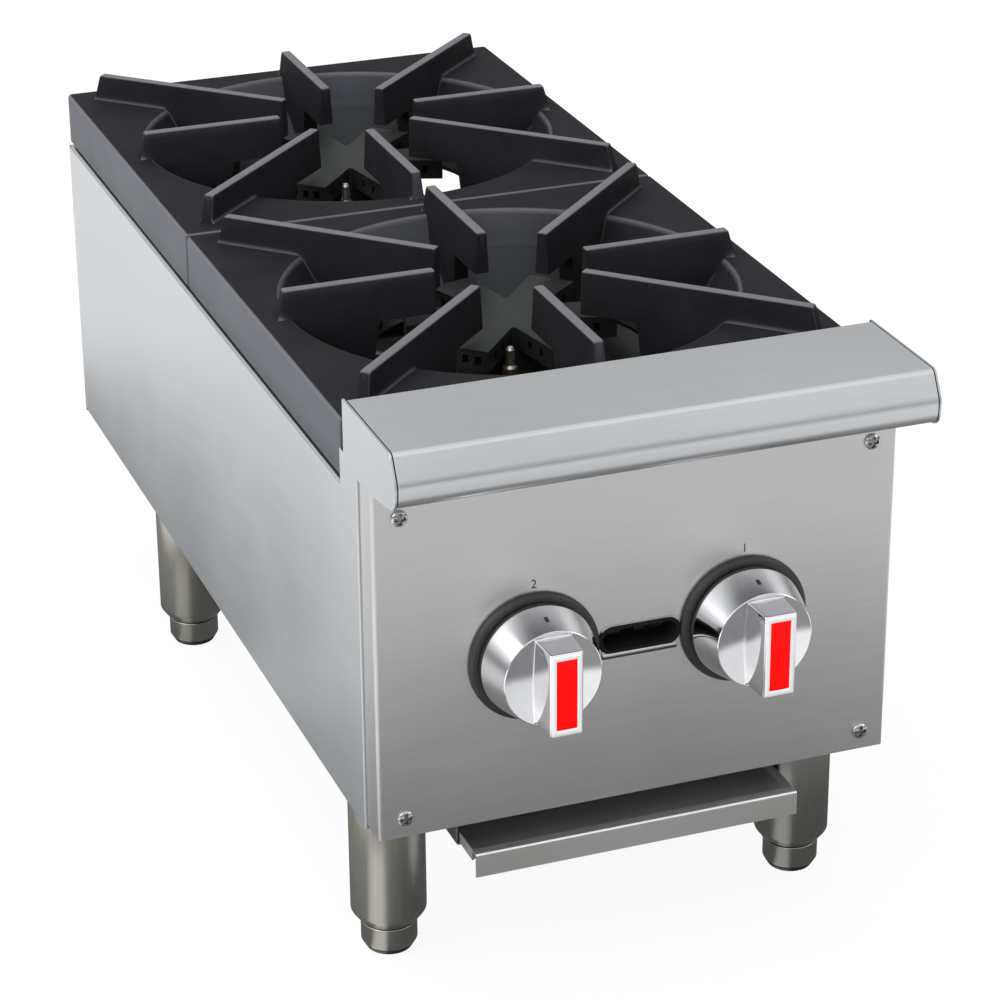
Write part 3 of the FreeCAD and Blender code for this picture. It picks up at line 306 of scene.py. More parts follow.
def wornTopsAndPaintedEdgeHighlights(tree, place, tint, wearAndEdgeHighlight):
    # upward faces above a height are rubbed to a lighter colour
    height, upward = (axes(tree, place.outputs[label])["Z"] for label in ("Object", "Normal"))
    high = mapRange(tree, height, wearAndEdgeHighlight["from"], wearAndEdgeHighlight["to"], 0, 1)
    mask = doMath(tree, "MULTIPLY", high, mapRange(tree, upward, *wearAndEdgeHighlight["upward"], 0, 1))
    tint = mixColour(tree, mask, tint, wearAndEdgeHighlight["colour"])
    # rounded edges are lighter, partly from wear and partly as a painted highlight: they face half upwards,
    # and the product of the upward and the sideways share is largest there
    share = doMath(tree, "MULTIPLY", upward, upward)
    bent = doMath(tree, "MULTIPLY", doMath(tree, "SUBTRACT", 1, share), share)
    above = mapRange(tree, height, wearAndEdgeHighlight["edgesFrom"], wearAndEdgeHighlight["edgesTo"], 0, wearAndEdgeHighlight["edgeShare"])
    mask = doMath(tree, "MULTIPLY", above, mapRange(tree, bent, *wearAndEdgeHighlight["bent"], 0, 1))
    return mixColour(tree, mask, tint, wearAndEdgeHighlight["edgeHighlightColour"])


def mixColour(tree, mask, tint, colour):
    # the tint where the mask is 0 and the colour where it is 1
    mix = addNode(tree, "Mix", data_type="RGBA")
    tree.links.new(mask, mix.inputs[0])
    tree.links.new(tint, mix.inputs[6])
    mix.inputs[7].default_value = (*colour, 1)
    return mix.outputs[2]


def makeFinish(name, spec):
    # one finish: a skin group drives colour, roughness and a little relief of one glossy shader
    material = bpy.data.materials.new(name)
    material.use_nodes = True
    tree = material.node_tree
    link = tree.links.new
    shader = tree.nodes["Principled BSDF"]
    place = addNode(tree, "TexCoord")
    turn = addNode(tree, "Mapping", Rotation=spec.get("turn", (0, 0, 0)))
    link(place.outputs["Object"], turn.inputs["Vector"])
    skin = tree.nodes.new("ShaderNodeGroup")
    skin.node_tree = groups[spec.get("skin", "cast")]
    link(turn.outputs[0], skin.inputs["Vector"])
    for key, value in zip(castSkin, spec.get("scales", ())):
        skin.inputs[key].default_value = value
    fine, slow = skin.outputs[0], skin.outputs[1]
    blend = addNode(tree, "Mix", data_type="FLOAT", Factor=skinMix["slowShare"])
    link(fine, blend.inputs[2])
    link(slow, blend.inputs[3])
    colours = addNode(tree, "ValToRGB")
    for stop, position, colour in zip(colours.color_ramp.elements, skinMix["spread"], spec["colours"]):
        stop.position = position
        stop.color = (*colour, 1)
    link(blend.outputs[0], colours.inputs["Fac"])
    tint = colours.outputs["Color"]
    rough = mapRange(tree, blend.outputs[0], *skinMix["spread"], *spec["roughness"])
    if spec.get("flank"):
        # smoother, lighter outer flanks, where the piece is widest
        flank = spec["flank"]
        aside = doMath(tree, "ABSOLUTE", axes(tree, place.outputs["Object"])["X"], 0)
        mask = mapRange(tree, aside, flank["from"], flank["to"], 0, 1)
        tint = mixColour(tree, mask, tint, flank["colour"])
        rough = doMath(tree, "SUBTRACT", rough, doMath(tree, "MULTIPLY", mask, flank["smoother"]))
    for paintedFacing in spec.get("paintedFacing", []):
        # painted light and shade: faces turned one way take another tone
        aim = doVector(tree, "DOT_PRODUCT", place.outputs["Normal"], paintedFacing["towards"])
        mask = mapRange(tree, aim, paintedFacing["from"], paintedFacing["to"], 0, 1)
        tint = mixColour(tree, mask, tint, paintedFacing["colour"])
    if spec.get("wearAndEdgeHighlight"):
        tint = wornTopsAndPaintedEdgeHighlights(tree, place, tint, spec["wearAndEdgeHighlight"])
    link(tint, shader.inputs["Base Color"])
    link(rough, shader.inputs["Roughness"])
    if spec.get("grain"):
        # brushed round the vertical axis, so that highlights stretch up and down
        around = addNode(tree, "Tangent", direction_type="RADIAL", axis="Z")
        link(around.outputs[0], shader.inputs["Tangent"])
        shader.inputs["Anisotropic"].default_value = spec["grain"]
    if spec.get("relief"):
        bump = addNode(tree, "Bump", Strength=spec["relief"][0], Distance=spec["relief"][1])
        link(fine, bump.inputs["Height"])
        link(bump.outputs[0], shader.inputs["Normal"])
    shader.inputs["Metallic"].default_value = spec.get("metallic", 0)
    for key, value in spec.get("shader", {}).items():
        shader.inputs[key].default_value = value
    return material


quarter = math.pi / 2
# the skin is that of a casting where none is named; scales are those of its two noises
finishes = {
    "panelSteel": {"skin": "brush", "colours": ((0.49, 0.49, 0.49), (0.6, 0.6, 0.6)), "metallic": 1.0,
                   "roughness": (0.3, 0.42), "relief": (0.12, 0.0002)},
    "sideSteel": {"skin": "brush", "colours": ((0.485, 0.507, 0.522), (0.57, 0.595, 0.613)), "metallic": 1.0,
                  "turn": (0, 0, quarter), "roughness": (0.32, 0.43), "relief": (0.1, 0.0002)},
    "ledgeSteel": {"skin": "brush", "colours": ((0.525, 0.548, 0.565), (0.625, 0.645, 0.662)),
                   "metallic": 1.0, "roughness": (0.28, 0.4), "relief": (0.1, 0.0002)},
    "frameSteel": {"colours": ((0.2, 0.205, 0.21), (0.32, 0.325, 0.33)), "metallic": 1.0,
                   "scales": (220.0, 60.0), "roughness": (0.35, 0.5)},
    "traySteel": {"skin": "brush", "colours": ((0.56, 0.56, 0.56), (0.7, 0.7, 0.7)), "metallic": 1.0,
                  "roughness": (0.5, 0.62), "relief": (0.1, 0.0002),
                  # painted shade on the lip's front face, and a painted highlight along its folded top edge
                  "paintedFacing": [{"towards": (0, -1, 0), "from": 0.9, "to": 0.98, "colour": (0.56, 0.56, 0.55)},
                             {"towards": (0, -0.7, 0.71), "from": 0.88, "to": 0.95,
                              "colour": (0.96, 0.96, 0.96)}]},
    "legSteel": {"skin": "brush", "colours": ((0.4, 0.39, 0.345), (0.52, 0.51, 0.46)), "metallic": 1.0,
                 "turn": (0, quarter, 0), "roughness": (0.2, 0.3), "grain": 0.5},
    "grateIron": {"colours": ((0.0088, 0.0091, 0.0106), (0.0195, 0.02, 0.0228)),
                  "roughness": (0.55, 0.75), "relief": (0.35, 0.0006), "shader": {"Specular IOR Level": 0.05},
                  # rubbed rib tops are wear; the lighter rounded edges are partly wear and partly painted
                  # highlight
                  "wearAndEdgeHighlight": {"from": 0.3575, "to": 0.3595, "colour": (0.12, 0.12, 0.134),
                           "upward": (0.6, 0.95), "bent": (0.08, 0.24), "edgeHighlightColour": (0.19, 0.19, 0.2),
                           "edgesFrom": 0.3395, "edgesTo": 0.3415, "edgeShare": 0.36},
                  "flank": {"from": 0.1525, "to": 0.154, "colour": (0.112, 0.117, 0.132), "smoother": 0.15},
                  # painted light: walls that lean towards the front are lighter
                  "paintedFacing": [{"towards": (0, -0.82, 0.57), "from": 0.84, "to": 0.97,
                              "colour": (0.05, 0.053, 0.062)}]},
    "burnerIron": {"colours": ((0.007, 0.0082, 0.0084), (0.021, 0.024, 0.0245)),
                   "metallic": 0.1, "roughness": (0.42, 0.6), "relief": (0.3, 0.0005),
                   "shader": {"Specular IOR Level": 0.25}},
    "knobChrome": {"colours": ((0.74, 0.75, 0.77), (0.86, 0.86, 0.88)), "metallic": 1.0,
                   "scales": (90.0, 20.0), "roughness": (0.05, 0.1)},
    # the red insert glows a little: painted light that keeps its red pure
    "glowingInsertRed": {"colours": ((0.86, 0.0, 0.0), (1.0, 0.0, 0.0)),
                  "shader": {"Specular IOR Level": 0.15, "Emission Color": (1, 0, 0, 1),
                             "Emission Strength": 0.3},
                  "scales": (300.0, 60.0), "roughness": (0.4, 0.5)},
    "frameWhite": {"colours": ((0.86, 0.87, 0.88), (0.93, 0.93, 0.94)),
                   "scales": (300.0, 60.0), "roughness": (0.25, 0.35)},
    "bezelBlack": {"colours": ((0.012, 0.012, 0.013), (0.028, 0.028, 0.03)),
                   "scales": (800.0, 40.0), "roughness": (0.35, 0.5)},
    "slotBlack": {"colours": ((0.006, 0.006, 0.006), (0.012, 0.012, 0.011)),
                  "roughness": (0.5, 0.65), "shader": {"Specular IOR Level": 0.12}},
    "valveBrass": {"colours": ((0.42, 0.32, 0.13), (0.66, 0.52, 0.24)), "metallic": 1.0,
                   "scales": (420.0, 70.0), "roughness": (0.26, 0.42)},
    "stemSteel": {"skin": "brush", "colours": ((0.45, 0.45, 0.46), (0.6, 0.6, 0.61)), "metallic": 1.0,
                  "turn": (0, 0, quarter), "roughness": (0.25, 0.35)},
    "pipeBlack": {"colours": ((0.018, 0.018, 0.018), (0.04, 0.04, 0.04)),
                  "roughness": (0.42, 0.6), "relief": (0.2, 0.0004)},
    "pilotAluminium": {"colours": ((0.55, 0.56, 0.57), (0.72, 0.73, 0.74)), "metallic": 1.0,
                       "roughness": (0.3, 0.45)},
    "fastenerSteel": {"colours": ((0.42, 0.42, 0.41), (0.62, 0.62, 0.61)), "metallic": 1.0,
                      "scales": (700.0, 150.0), "roughness": (0.12, 0.24)},
    "pilotBrass": {"colours": ((0.3, 0.27, 0.2), (0.62, 0.58, 0.46)), "metallic": 1.0,
                   "scales": (420.0, 120.0), "roughness": (0.3, 0.46)},
    "markInk": {"colours": ((0.015, 0.015, 0.016), (0.03, 0.03, 0.032)),
                "roughness": (0.5, 0.6)},
}
materials = {name: makeFinish(name, spec) for name, spec in finishes.items()}
print("finishes made:", len(materials))

# Which finish each material slot of the record takes, and the nodes that differ from their slot
slotFinish = {"body_steel": "panelSteel", "frame_steel": "frameSteel", "tray_steel": "traySteel",
              "leg_steel": "legSteel", "foot_steel": "legSteel", "grate_iron": "grateIron",
              "burner_iron": "burnerIron", "knob_chrome": "knobChrome", "insert_red": "glowingInsertRed",
              "bezel_black": "bezelBlack", "valve_brass": "valveBrass", "stem_steel": "stemSteel",
              "pipe_black": "pipeBlack", "pilot_aluminium": "pilotAluminium", "shutter_steel": "frameSteel",
              "fastener_steel": "fastenerSteel"}
nodeFinish = {"left_side_panel": "sideSteel", "right_side_panel": "sideSteel", "front_ledge": "ledgeSteel",
              "ledge_cap_left": "sideSteel", "ledge_cap_right": "sideSteel"}


def dressNodes():
    for part in frame["record"]["subparts"]:
        node = nodes[part["node"]]
        finish = nodeFinish.get(part["node"], slotFinish[part["material_slot"]])
        node.data.materials.clear()
        node.data.materials.append(materials[finish])


# Surface tools. Pieces are drawn in millimetres with Y = 0 on the front panel's face, like the solids.
panelFace = 322.0
cornerSteps = 5  # arc steps in each corner of a rounded rectangle
cornerRoom = 0.49  # share of a side that an arc may take up
sideSign = {"left": -1, "right": 1}
weld = {"merge": 1e-6, "least": 1e-7}  # metres


def roundPath(points, radii, steps=6, closed=False):
    # a polyline whose corners become arcs: an arc's ends lie radius / tan(half the corner's angle) from
    # the corner, and at most about half a side away
    points = [np.array(p, float) for p in points]
    runs = []
    for i, (corner, radius) in enumerate(zip(points, radii)):
        if radius <= 0 or (not closed and i in (0, len(points) - 1)):
            runs.append(corner[None])
            continue
        back, ahead = points[i - 1] - corner, points[(i + 1) % len(points)] - corner
        room = cornerRoom * min(np.linalg.norm(back), np.linalg.norm(ahead))
        back, ahead = back / np.linalg.norm(back), ahead / np.linalg.norm(ahead)
        half = math.acos(np.clip(back @ ahead, -1, 1)) / 2
        reach = min(radius / math.tan(half), room)
        centre = corner + (back + ahead) / np.linalg.norm(back + ahead) * reach / math.cos(half)
        start, end = corner + back * reach - centre, corner + ahead * reach - centre
        turn = math.pi - 2 * half
        t = np.linspace(0, turn, steps + 1)[:, None]
        runs.append(centre + (np.sin(turn - t) * start + np.sin(t) * end) / math.sin(turn))
    return np.concatenate(runs)


def roundRect(halfX, halfY, radius):
    # closed loop of a rectangle with rounded corners, always with the same number of points
    corners = [(halfX, halfY), (-halfX, halfY), (-halfX, -halfY), (halfX, -halfY)]
    return roundPath(corners, [radius] * 4, cornerSteps, True)


def rectAt(halfX, halfY, radius, depth):
    # the same loop with its depth as third coordinate
    return np.insert(roundRect(halfX, halfY, radius), 2, depth, axis=1)


def fillSides(loop, extra=9):
    # the same loop with more points along its four straight sides, from each corner's last point on
    runs = loop.reshape(4, cornerSteps + 1, 2)
    last, following = runs[:, -1:], np.roll(runs, -1, 0)[:, :1]
    shares = np.linspace(0, 1, extra, endpoint=False)[:, None]
    return np.concatenate([runs[:, :-1], last + shares * (following - last)], 1).reshape(-1, 2)


def closeEnds(rows):
    # the rows with a row of their middle point before the first and after the last
    first, last = (np.repeat(row.mean(0)[None], len(row), 0) for row in (rows[0], rows[-1]))
    return np.stack([first, *rows, last])


def ringLoop(radius, count):
    # closed loop of a circle
    turn = np.linspace(0, 2 * math.pi, count, endpoint=False)
    return radius * np.stack([np.cos(turn), np.sin(turn)], -1)


def revolve(profile, count):
    # rows follow the profile (radius, height), columns go round the axis
    turn = np.linspace(0, 2 * math.pi, count, endpoint=False)
    radius, height = profile[:, :1], profile[:, 1:]
    return np.stack([radius * np.cos(turn), radius * np.sin(turn), height + 0 * turn], -1)


def outFront(grid, x, z):
    # a surface round the vertical axis, laid so that its axis points out of the panel from (x, z)
    return np.stack([x + grid[..., 0], -grid[..., 2], z + grid[..., 1]], -1)


def addPiece(name, mesh, finish, body):
    # a mesh in its finish, as a piece that moves with its body
    mesh.materials.clear()
    mesh.materials.append(materials[finish])
    piece = addObject(name, mesh)
    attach(piece, body)
    return piece


def makePiece(name, sheets, finish, body, replaced=(), sharp=35):
    # sheets are grids with flags for closed rows and columns; grids meet where their points coincide
    verts, quads, start = [], [], 0
    for grid, closeRows, closeColumns in sheets:
        rows, columns = grid.shape[:2]
        index = np.arange(rows * columns).reshape(rows, columns) + start
        start += rows * columns
        if closeRows:
            index = np.concatenate([index, index[:1]], 0)
        if closeColumns:
            index = np.concatenate([index, index[:, :1]], 1)
        corners = [index[:-1, :-1], index[:-1, 1:], index[1:, 1:], index[1:, :-1]]
        quads.append(np.stack(corners, -1).reshape(-1, 4))
        verts.append(grid.reshape(-1, 3))
    verts = (np.concatenate(verts) - (0, panelFace, 0)) / 1000
    mesh = bpy.data.meshes.new(name)
    mesh.from_pydata(verts.tolist(), [], np.concatenate(quads).tolist())
    shape = bmesh.new()
    shape.from_mesh(mesh)
    bmesh.ops.remove_doubles(shape, verts=shape.verts, dist=weld["merge"])
    bmesh.ops.dissolve_degenerate(shape, edges=shape.edges, dist=weld["least"])
    bmesh.ops.recalc_face_normals(shape, faces=shape.faces)
    shape.to_mesh(mesh)
    shape.free()
    mesh.shade_smooth()
    mesh.set_sharp_from_angle(angle=math.radians(sharp))
    piece = addPiece(name, mesh, finish, body)
    if replaced:
        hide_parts(*replaced)


# Grates

# hem: inset and height over the seat; bowlLip: growth and rise from the bowl's inner edge;
# cornerFan: half the spread and the number of finer turns at a corner
grateShape = {"halfX": 154.25, "halfY": 152.5, "corner": 2.6, "leastCorner": 0.6, "edge": 2.6, "seat": 306.0,
              "rim": 343.0, "hem": [(3.8, 0.0), (3.4, 2.2), (0.6, 2.7), (0.0, 3.4), (0.0, 17.0)],
              "bowl": [(136.0, 0.0), (124.0, -19.0), (87.0, -43.0)], "bowlRounds": [3.5, 16.0], "brim": 6.0,
              "bowlLip": [(-1.2, -1.5), (-0.6, -4.0), (2.0, -5.5)], "wall": 5.0, "skirt": 5.0,
              "skirtEdge": 0.6, "around": 160, "cornerFan": (0.022, 9), "rimShares": (0.1, 0.9, 5),
              "centres": {"front": 201.0, "rear": 507.0}}
# stations: where the spacing of the rib's sections changes; free: where it leaves the bowl
ribShape = {"ribs": 8, "top": 17.0, "under": -9.0, "halfTop": 3.25, "halfUnder": 4.75, "edge": 1.2,
            "inner": 47.0, "sideReach": 139.0, "cornerReach": 188.8, "endRoom": 4.0, "endTaper": 0.9,
            "lean": 4.5, "leanRun": 12.0, "stations": (80, 82, 92, 95), "counts": (6, 8, 22),
            "sideShares": [(0, 0.2, 6), (0.3, 0.9, 5)], "flare": 1.3, "flareHeight": 2.6, "sink": 2.5,
            "freeFrom": 88.0, "freeRun": 6.0, "freeDrop": 60.0}


def bowlProfile():
    # section of the bowl from the rim inwards, heights measured from the rim
    outer = grateShape["bowl"][0][0] + grateShape["brim"]
    points = [(outer, 0.0)] + grateShape["bowl"]
    return roundPath(points, [0] + grateShape["bowlRounds"] + [0], 7)


def squareLoop(turns, inset):
    # the grate's outline, a rounded rectangle, where rays at the given turns meet it
    half = np.array([grateShape["halfX"], grateShape["halfY"]]) - inset
    radius = max(grateShape["corner"] - inset, grateShape["leastCorner"])
    ways = np.stack([np.cos(turns), np.sin(turns)], -1)
    reach = (half / np.maximum(abs(ways), 1e-9)).min(-1)
    centre = np.sign(ways) * (half - radius)
    along = (ways * centre).sum(-1)
    off = (centre ** 2).sum(-1) - along ** 2
    arc = along + np.sqrt(np.maximum(radius ** 2 - off, 0))
    inCorner = (abs(ways * reach[:, None]) > abs(centre)).all(-1)
    return ways * np.where(inCorner, arc, reach)[:, None]


def castingGrid():
    # rows go once round the section: up the skirt, over the rim, down the bowl and back underneath
    corner = math.atan2(grateShape["halfY"], grateShape["halfX"])
    spread, count = grateShape["cornerFan"]
    fan = np.linspace(-spread, spread, count)
    cornerTurns = np.concatenate([side * corner + base + fan for base in (0, math.pi) for side in (1, -1)])
    even = np.linspace(0, 2 * math.pi, grateShape["around"], endpoint=False)
    turns = np.unique(np.round(np.concatenate([even, cornerTurns % (2 * math.pi)]), 5))
    ways = np.stack([np.cos(turns), np.sin(turns)], -1)
    edge, rim, seat, skirt = (grateShape[key] for key in ("edge", "rim", "seat", "skirt"))
    rows = [(squareLoop(turns, inset), seat + rise) for inset, rise in grateShape["hem"]]
    for bend in np.linspace(0, quarter, 6):
        rows.append((squareLoop(turns, edge * (1 - math.cos(bend))), rim - edge * (1 - math.sin(bend))))
    bowl = bowlProfile()
    brink = rows[-1][0]
    for share in np.linspace(*grateShape["rimShares"]):
        rows.append((brink * (1 - share) + ways * bowl[0, 0] * share, rim))
    rows += [(ways * radius, rim + height) for radius, height in bowl]
    inner, low = bowl[-1]
    rows += [(ways * (inner + grow), rim + low + rise) for grow, rise in grateShape["bowlLip"]]
    wall = grateShape["wall"]
    rows += [(ways * (radius + wall), rim + height - wall) for radius, height in bowl[::-3][1:]]
    hem = grateShape["skirtEdge"]
    inside = [(skirt, rim - wall), (skirt, seat + hem), (skirt - hem, seat)]
    rows += [(squareLoop(turns, inset), level) for inset, level in inside]
    return np.stack([np.insert(loop, 2, height, axis=1) for loop, height in rows])


def ribGrid(reach):
    # rows go along the rib, columns round its section; its foot flares where it meets the casting
    bowl = bowlProfile()[::-1]
    edge, top, inner, room = (ribShape[key] for key in ("edge", "top", "inner", "endRoom"))
    bends = np.linspace(0, quarter, 5)
    insets = edge * (1 - np.sin(bends))
    stations = [inner + room, *ribShape["stations"], reach - room]
    spans = zip(stations[::2], stations[1::2], ribShape["counts"])
    middle = np.concatenate([np.linspace(low, high, count) for low, high, count in spans])
    along = [inner + edge - edge * np.cos(bends), middle, reach - edge + edge * np.cos(bends[::-1])]
    along = np.concatenate(along)
    inset = np.concatenate([insets, 0 * middle, insets[::-1]])
    # over the bowl's hole the rib hangs free, with a smooth step up to its lower edge
    ground = np.interp(along, bowl[:, 0], bowl[:, 1])
    free = np.clip((ribShape["freeFrom"] - along) / ribShape["freeRun"], 0, 1)
    free = free * free * (3 - 2 * free)
    low = (ground - ribShape["sink"]) * (1 - free) + ribShape["under"] * free
    ground = ground - ribShape["freeDrop"] * free
    lean = ribShape["lean"] * np.clip((along - reach) / ribShape["leanRun"] + 1, 0, 1)
    # section: height share up one side, over the rounded top, down the other side
    share = np.concatenate([np.linspace(*span) for span in ribShape["sideShares"]])
    x, shrink, floor, base, tilt = (values[:, None] for values in (along, inset, low, ground, lean))
    high, narrow = top - shrink, ribShape["endTaper"] * shrink
    z = floor + (high - edge - floor) * share
    width = np.interp(z, [ribShape["under"], top], [ribShape["halfUnder"], ribShape["halfTop"]]) - narrow
    width = width + ribShape["flare"] * np.clip(1 - (z - base) / ribShape["flareHeight"], 0, 1) ** 2
    across = ribShape["halfTop"] - narrow - edge * (1 - np.cos(bends))
    upper = high - edge * (1 - np.sin(bends))
    side = np.stack([np.hstack([width, across]), np.hstack([z, upper])], -1)
    loops = np.concatenate([side, side[:, ::-1] * (-1, 1)], 1)
    x = x + tilt * (top - loops[..., 1]) / top
    return closeEnds(np.concatenate([x[..., None], loops], -1))


def makeGrates():
    casting = castingGrid()
    for place, centre in grateShape["centres"].items():
        sheets = [(casting + (0, centre, 0), True, True)]
        for i in range(ribShape["ribs"]):
            rib = ribGrid(ribShape["cornerReach"] if i % 2 else ribShape["sideReach"])
            turn = 2 * math.pi / ribShape["ribs"] * i
            x = rib[..., 0] * math.cos(turn) - rib[..., 1] * math.sin(turn)
            y = rib[..., 0] * math.sin(turn) + rib[..., 1] * math.cos(turn)
            sheets.append((np.stack([x, y + centre, rib[..., 2] + grateShape["rim"]], -1), False, True))
        makePiece(place + "GrateCasting", sheets, "grateIron", place + "_grate",
                  ["grate_" + place], sharp=50)
    print("grates made")


# Knobs

knobShape = {"x": 62.5, "z": 207.5, "turns": 96,
             "skirt": [(0, 5.0), (33.8, 5.0), (33.8, 8.8), (28.5, 29.6), (28.0, 29.9), (27.6, 29.8)],
             "rounds": [0, 0.8, 1.2, 0.25, 0.15, 0], "dish": (27.6, 3.6),
             "ring": [(9.0, 0.0), (38.2, 0.0), (38.2, 2.0), (36.4, 3.5), (9.0, 3.5)],
             "ringRounds": [0, 0, 1.0, 1.2, 0],
             "gripRoot": (10.5, 25.0), "gripFront": (9.5, 25.0), "gripDepth": (27.0, 50.0), "gripEdge": 1.2,
             "gripCorner": 1.0, "gripSwell": 0.1,
             "gripFillet": [(1.0, -0.6), (1.0, 0.03), (0.45, 0.18), (0.15, 0.45), (0.0, 1.0)],
             "insert": (5.85, 20.75), "insertDepth": 1.2, "recessGap": 0.15, "recessCorner": 0.5}
# insets or growths of an outline, each with its lift from the grip's front
insertShape = {"corner": 0.4, "edge": [(0.0, -0.3), (0.1, -0.08), (0.3, 0.0)], "crown": 0.05}
borderShape = {"outer": [(-0.9, -0.6), (-0.7, -0.2), (-0.9, 0.1)], "outerCorner": 0.8,
               "inner": [(0.4, 0.1), (0.1, -0.15), (0.1, -0.6)], "innerCorner": 0.5}
indexShape = {"half": 1.1, "span": (0.42, 0.62), "lifts": (-0.3, 0.08), "bend": 60}
markShape = {"height": 5.2, "capShare": 0.7, "thick": 0.05, "curveSteps": 4,
             "left": ("2", 0.2, 43.0), "right": ("1", 0.2, 43.0)}


def knobGrids(x, z):
    # turned skirt with a slightly dished face, and a grip bar lofted from rounded rectangles
    # the face sinks from its edge to the middle as a parabola
    rim = roundPath(knobShape["skirt"], knobShape["rounds"], 5)
    edgeRadius, sink = knobShape["dish"]
    radius = np.linspace(edgeRadius, 0, 20)[1:]
    dish = np.column_stack([radius, rim[-1, 1] - sink * (1 - (radius / edgeRadius) ** 2)])
    skirt = revolve(np.concatenate([rim, dish]), knobShape["turns"])
    edge, corner, gap = (knobShape[key] for key in ("gripEdge", "gripCorner", "recessGap"))
    (rootX, rootZ), (frontX, frontZ) = knobShape["gripRoot"], knobShape["gripFront"]
    base, front = knobShape["gripDepth"]
    insetX, insetZ = knobShape["insert"]
    loops = [(frontX + knobShape["gripSwell"], frontZ, corner, front - edge)]
    for bend in np.linspace(0, quarter, 5)[1:]:
        inset = edge * (1 - math.cos(bend))
        loops.append((frontX - inset, frontZ - inset, corner, front - edge * (1 - math.sin(bend))))
    loops.append((insetX + gap, insetZ + gap, knobShape["recessCorner"], front - knobShape["insertDepth"]))
    rows = [np.insert(fillSides(roundRect(a, b, r)), 2, depth, axis=1) for a, b, r, depth in loops]
    roots = []
    for grow, lift in knobShape["gripFillet"]:
        loop = fillSides(roundRect(rootX + grow, rootZ + grow, corner))
        share = np.minimum((loop ** 2).sum(-1) / edgeRadius ** 2, 1)
        roots.append(np.column_stack([loop, rim[-1, 1] - sink * (1 - share) + lift]))
    rows = [rows[0] * (0, 0, 0) + (0, 0, base)] + roots + rows + [rows[-1] * (0, 0, 1)]
    return [(outFront(skirt, x, z), False, True), (outFront(np.stack(rows), x, z), False, True)]


def insertGrid(x, z):
    # strip with rounded edges that fills the recess of the grip
    halfX, halfZ = knobShape["insert"]
    front, corner = knobShape["gripDepth"][1], insertShape["corner"]
    levels = [(0.0, -knobShape["insertDepth"])] + insertShape["edge"]
    rows = [rectAt(halfX - inset, halfZ - inset, corner, front + lift) for inset, lift in levels]
    rows.append(rectAt(halfX / 2, halfZ / 2, corner, front + insertShape["crown"]))
    return outFront(closeEnds(rows), x, z)


def frameGrid(x, z):
    # white border of the grip's front, a flat ring between two rounded rectangles
    front = knobShape["gripDepth"][1]
    rows = []
    for key, (halfX, halfZ) in (("outer", knobShape["gripFront"]), ("inner", knobShape["insert"])):
        corner = borderShape[key + "Corner"]
        rows += [rectAt(halfX + grow, halfZ + grow, corner, front + lift) for grow, lift in borderShape[key]]
    return outFront(np.stack(rows), x, z)


def indexGrid(x, z):
    # thin tab on the top of the skirt's cone, which falls to its sides as the square of the distance
    low, high = np.array(knobShape["skirt"][2:4])
    lower, upper = (low * (1 - share) + high * share for share in indexShape["span"])
    half = indexShape["half"]
    across = np.array([-half, half, half, -half])
    radius, depth = np.array([lower, lower, upper, upper]).T
    height = z + radius - across ** 2 / indexShape["bend"]
    return closeEnds([np.column_stack([x + across, -depth, height + lift]) for lift in indexShape["lifts"]])


def makeKnobs():
    ring = revolve(roundPath(knobShape["ring"], knobShape["ringRounds"], 5), knobShape["turns"])
    for side, sign in sideSign.items():
        x, z, body = sign * knobShape["x"], knobShape["z"], "knob_" + side + "_turning"
        makePiece(side + "KnobChrome", knobGrids(x, z), "knobChrome", body,
                  ["knob_" + side], sharp=30)
        makePiece(side + "KnobInsert", [(insertGrid(x, z), False, True)], "glowingInsertRed", body,
                  ["knob_insert_" + side], sharp=60)
        makePiece(side + "KnobBorder", [(frameGrid(x, z), True, True)], "frameWhite", body,
                  sharp=60)
        # the black bezel ring is a real part, drawn a little wide so that it also stands in for the knob's
        # soft shadow on the panel: partly painted shade
        makePiece(side + "KnobRing", [(outFront(ring, x, z), True, True)], "bezelBlack", "frame",
                  ["knob_bezel_" + side])
        makePiece(side + "KnobIndex", [(indexGrid(x, z), False, True)], "markInk", body)
        makeMark(side, x, z)
    print("knobs made")


def makeMark(side, x, z):
    # a small printed numeral on the panel above the knob
    words, offset, rise = markShape[side]
    curve = bpy.data.curves.new(side + "PanelMark", "FONT")
    curve.body, curve.extrude = words, markShape["thick"] / 1000
    curve.size = markShape["height"] / markShape["capShare"] / 1000
    curve.align_x, curve.align_y = "CENTER", "CENTER"
    curve.resolution_u = markShape["curveSteps"]
    text = addObject(side + "PanelMark", curve)
    bpy.context.view_layer.update()
    mesh = bpy.data.meshes.new_from_object(text.evaluated_get(bpy.context.evaluated_depsgraph_get()))
    bpy.data.objects.remove(text)
    points = np.empty(len(mesh.vertices) * 3)
    mesh.vertices.foreach_get("co", points)
    points = points.reshape(-1, 3)
    # the letter's own plane becomes the panel's face
    points = np.stack([points[:, 0], -points[:, 2], points[:, 1]], -1)
    points += np.array([x + offset, -panelFace, z + rise]) / 1000
    mesh.vertices.foreach_set("co", points.ravel())
    mesh.update()
    addPiece(side + "PanelMark", mesh, "markInk", "frame")


# Legs and feet

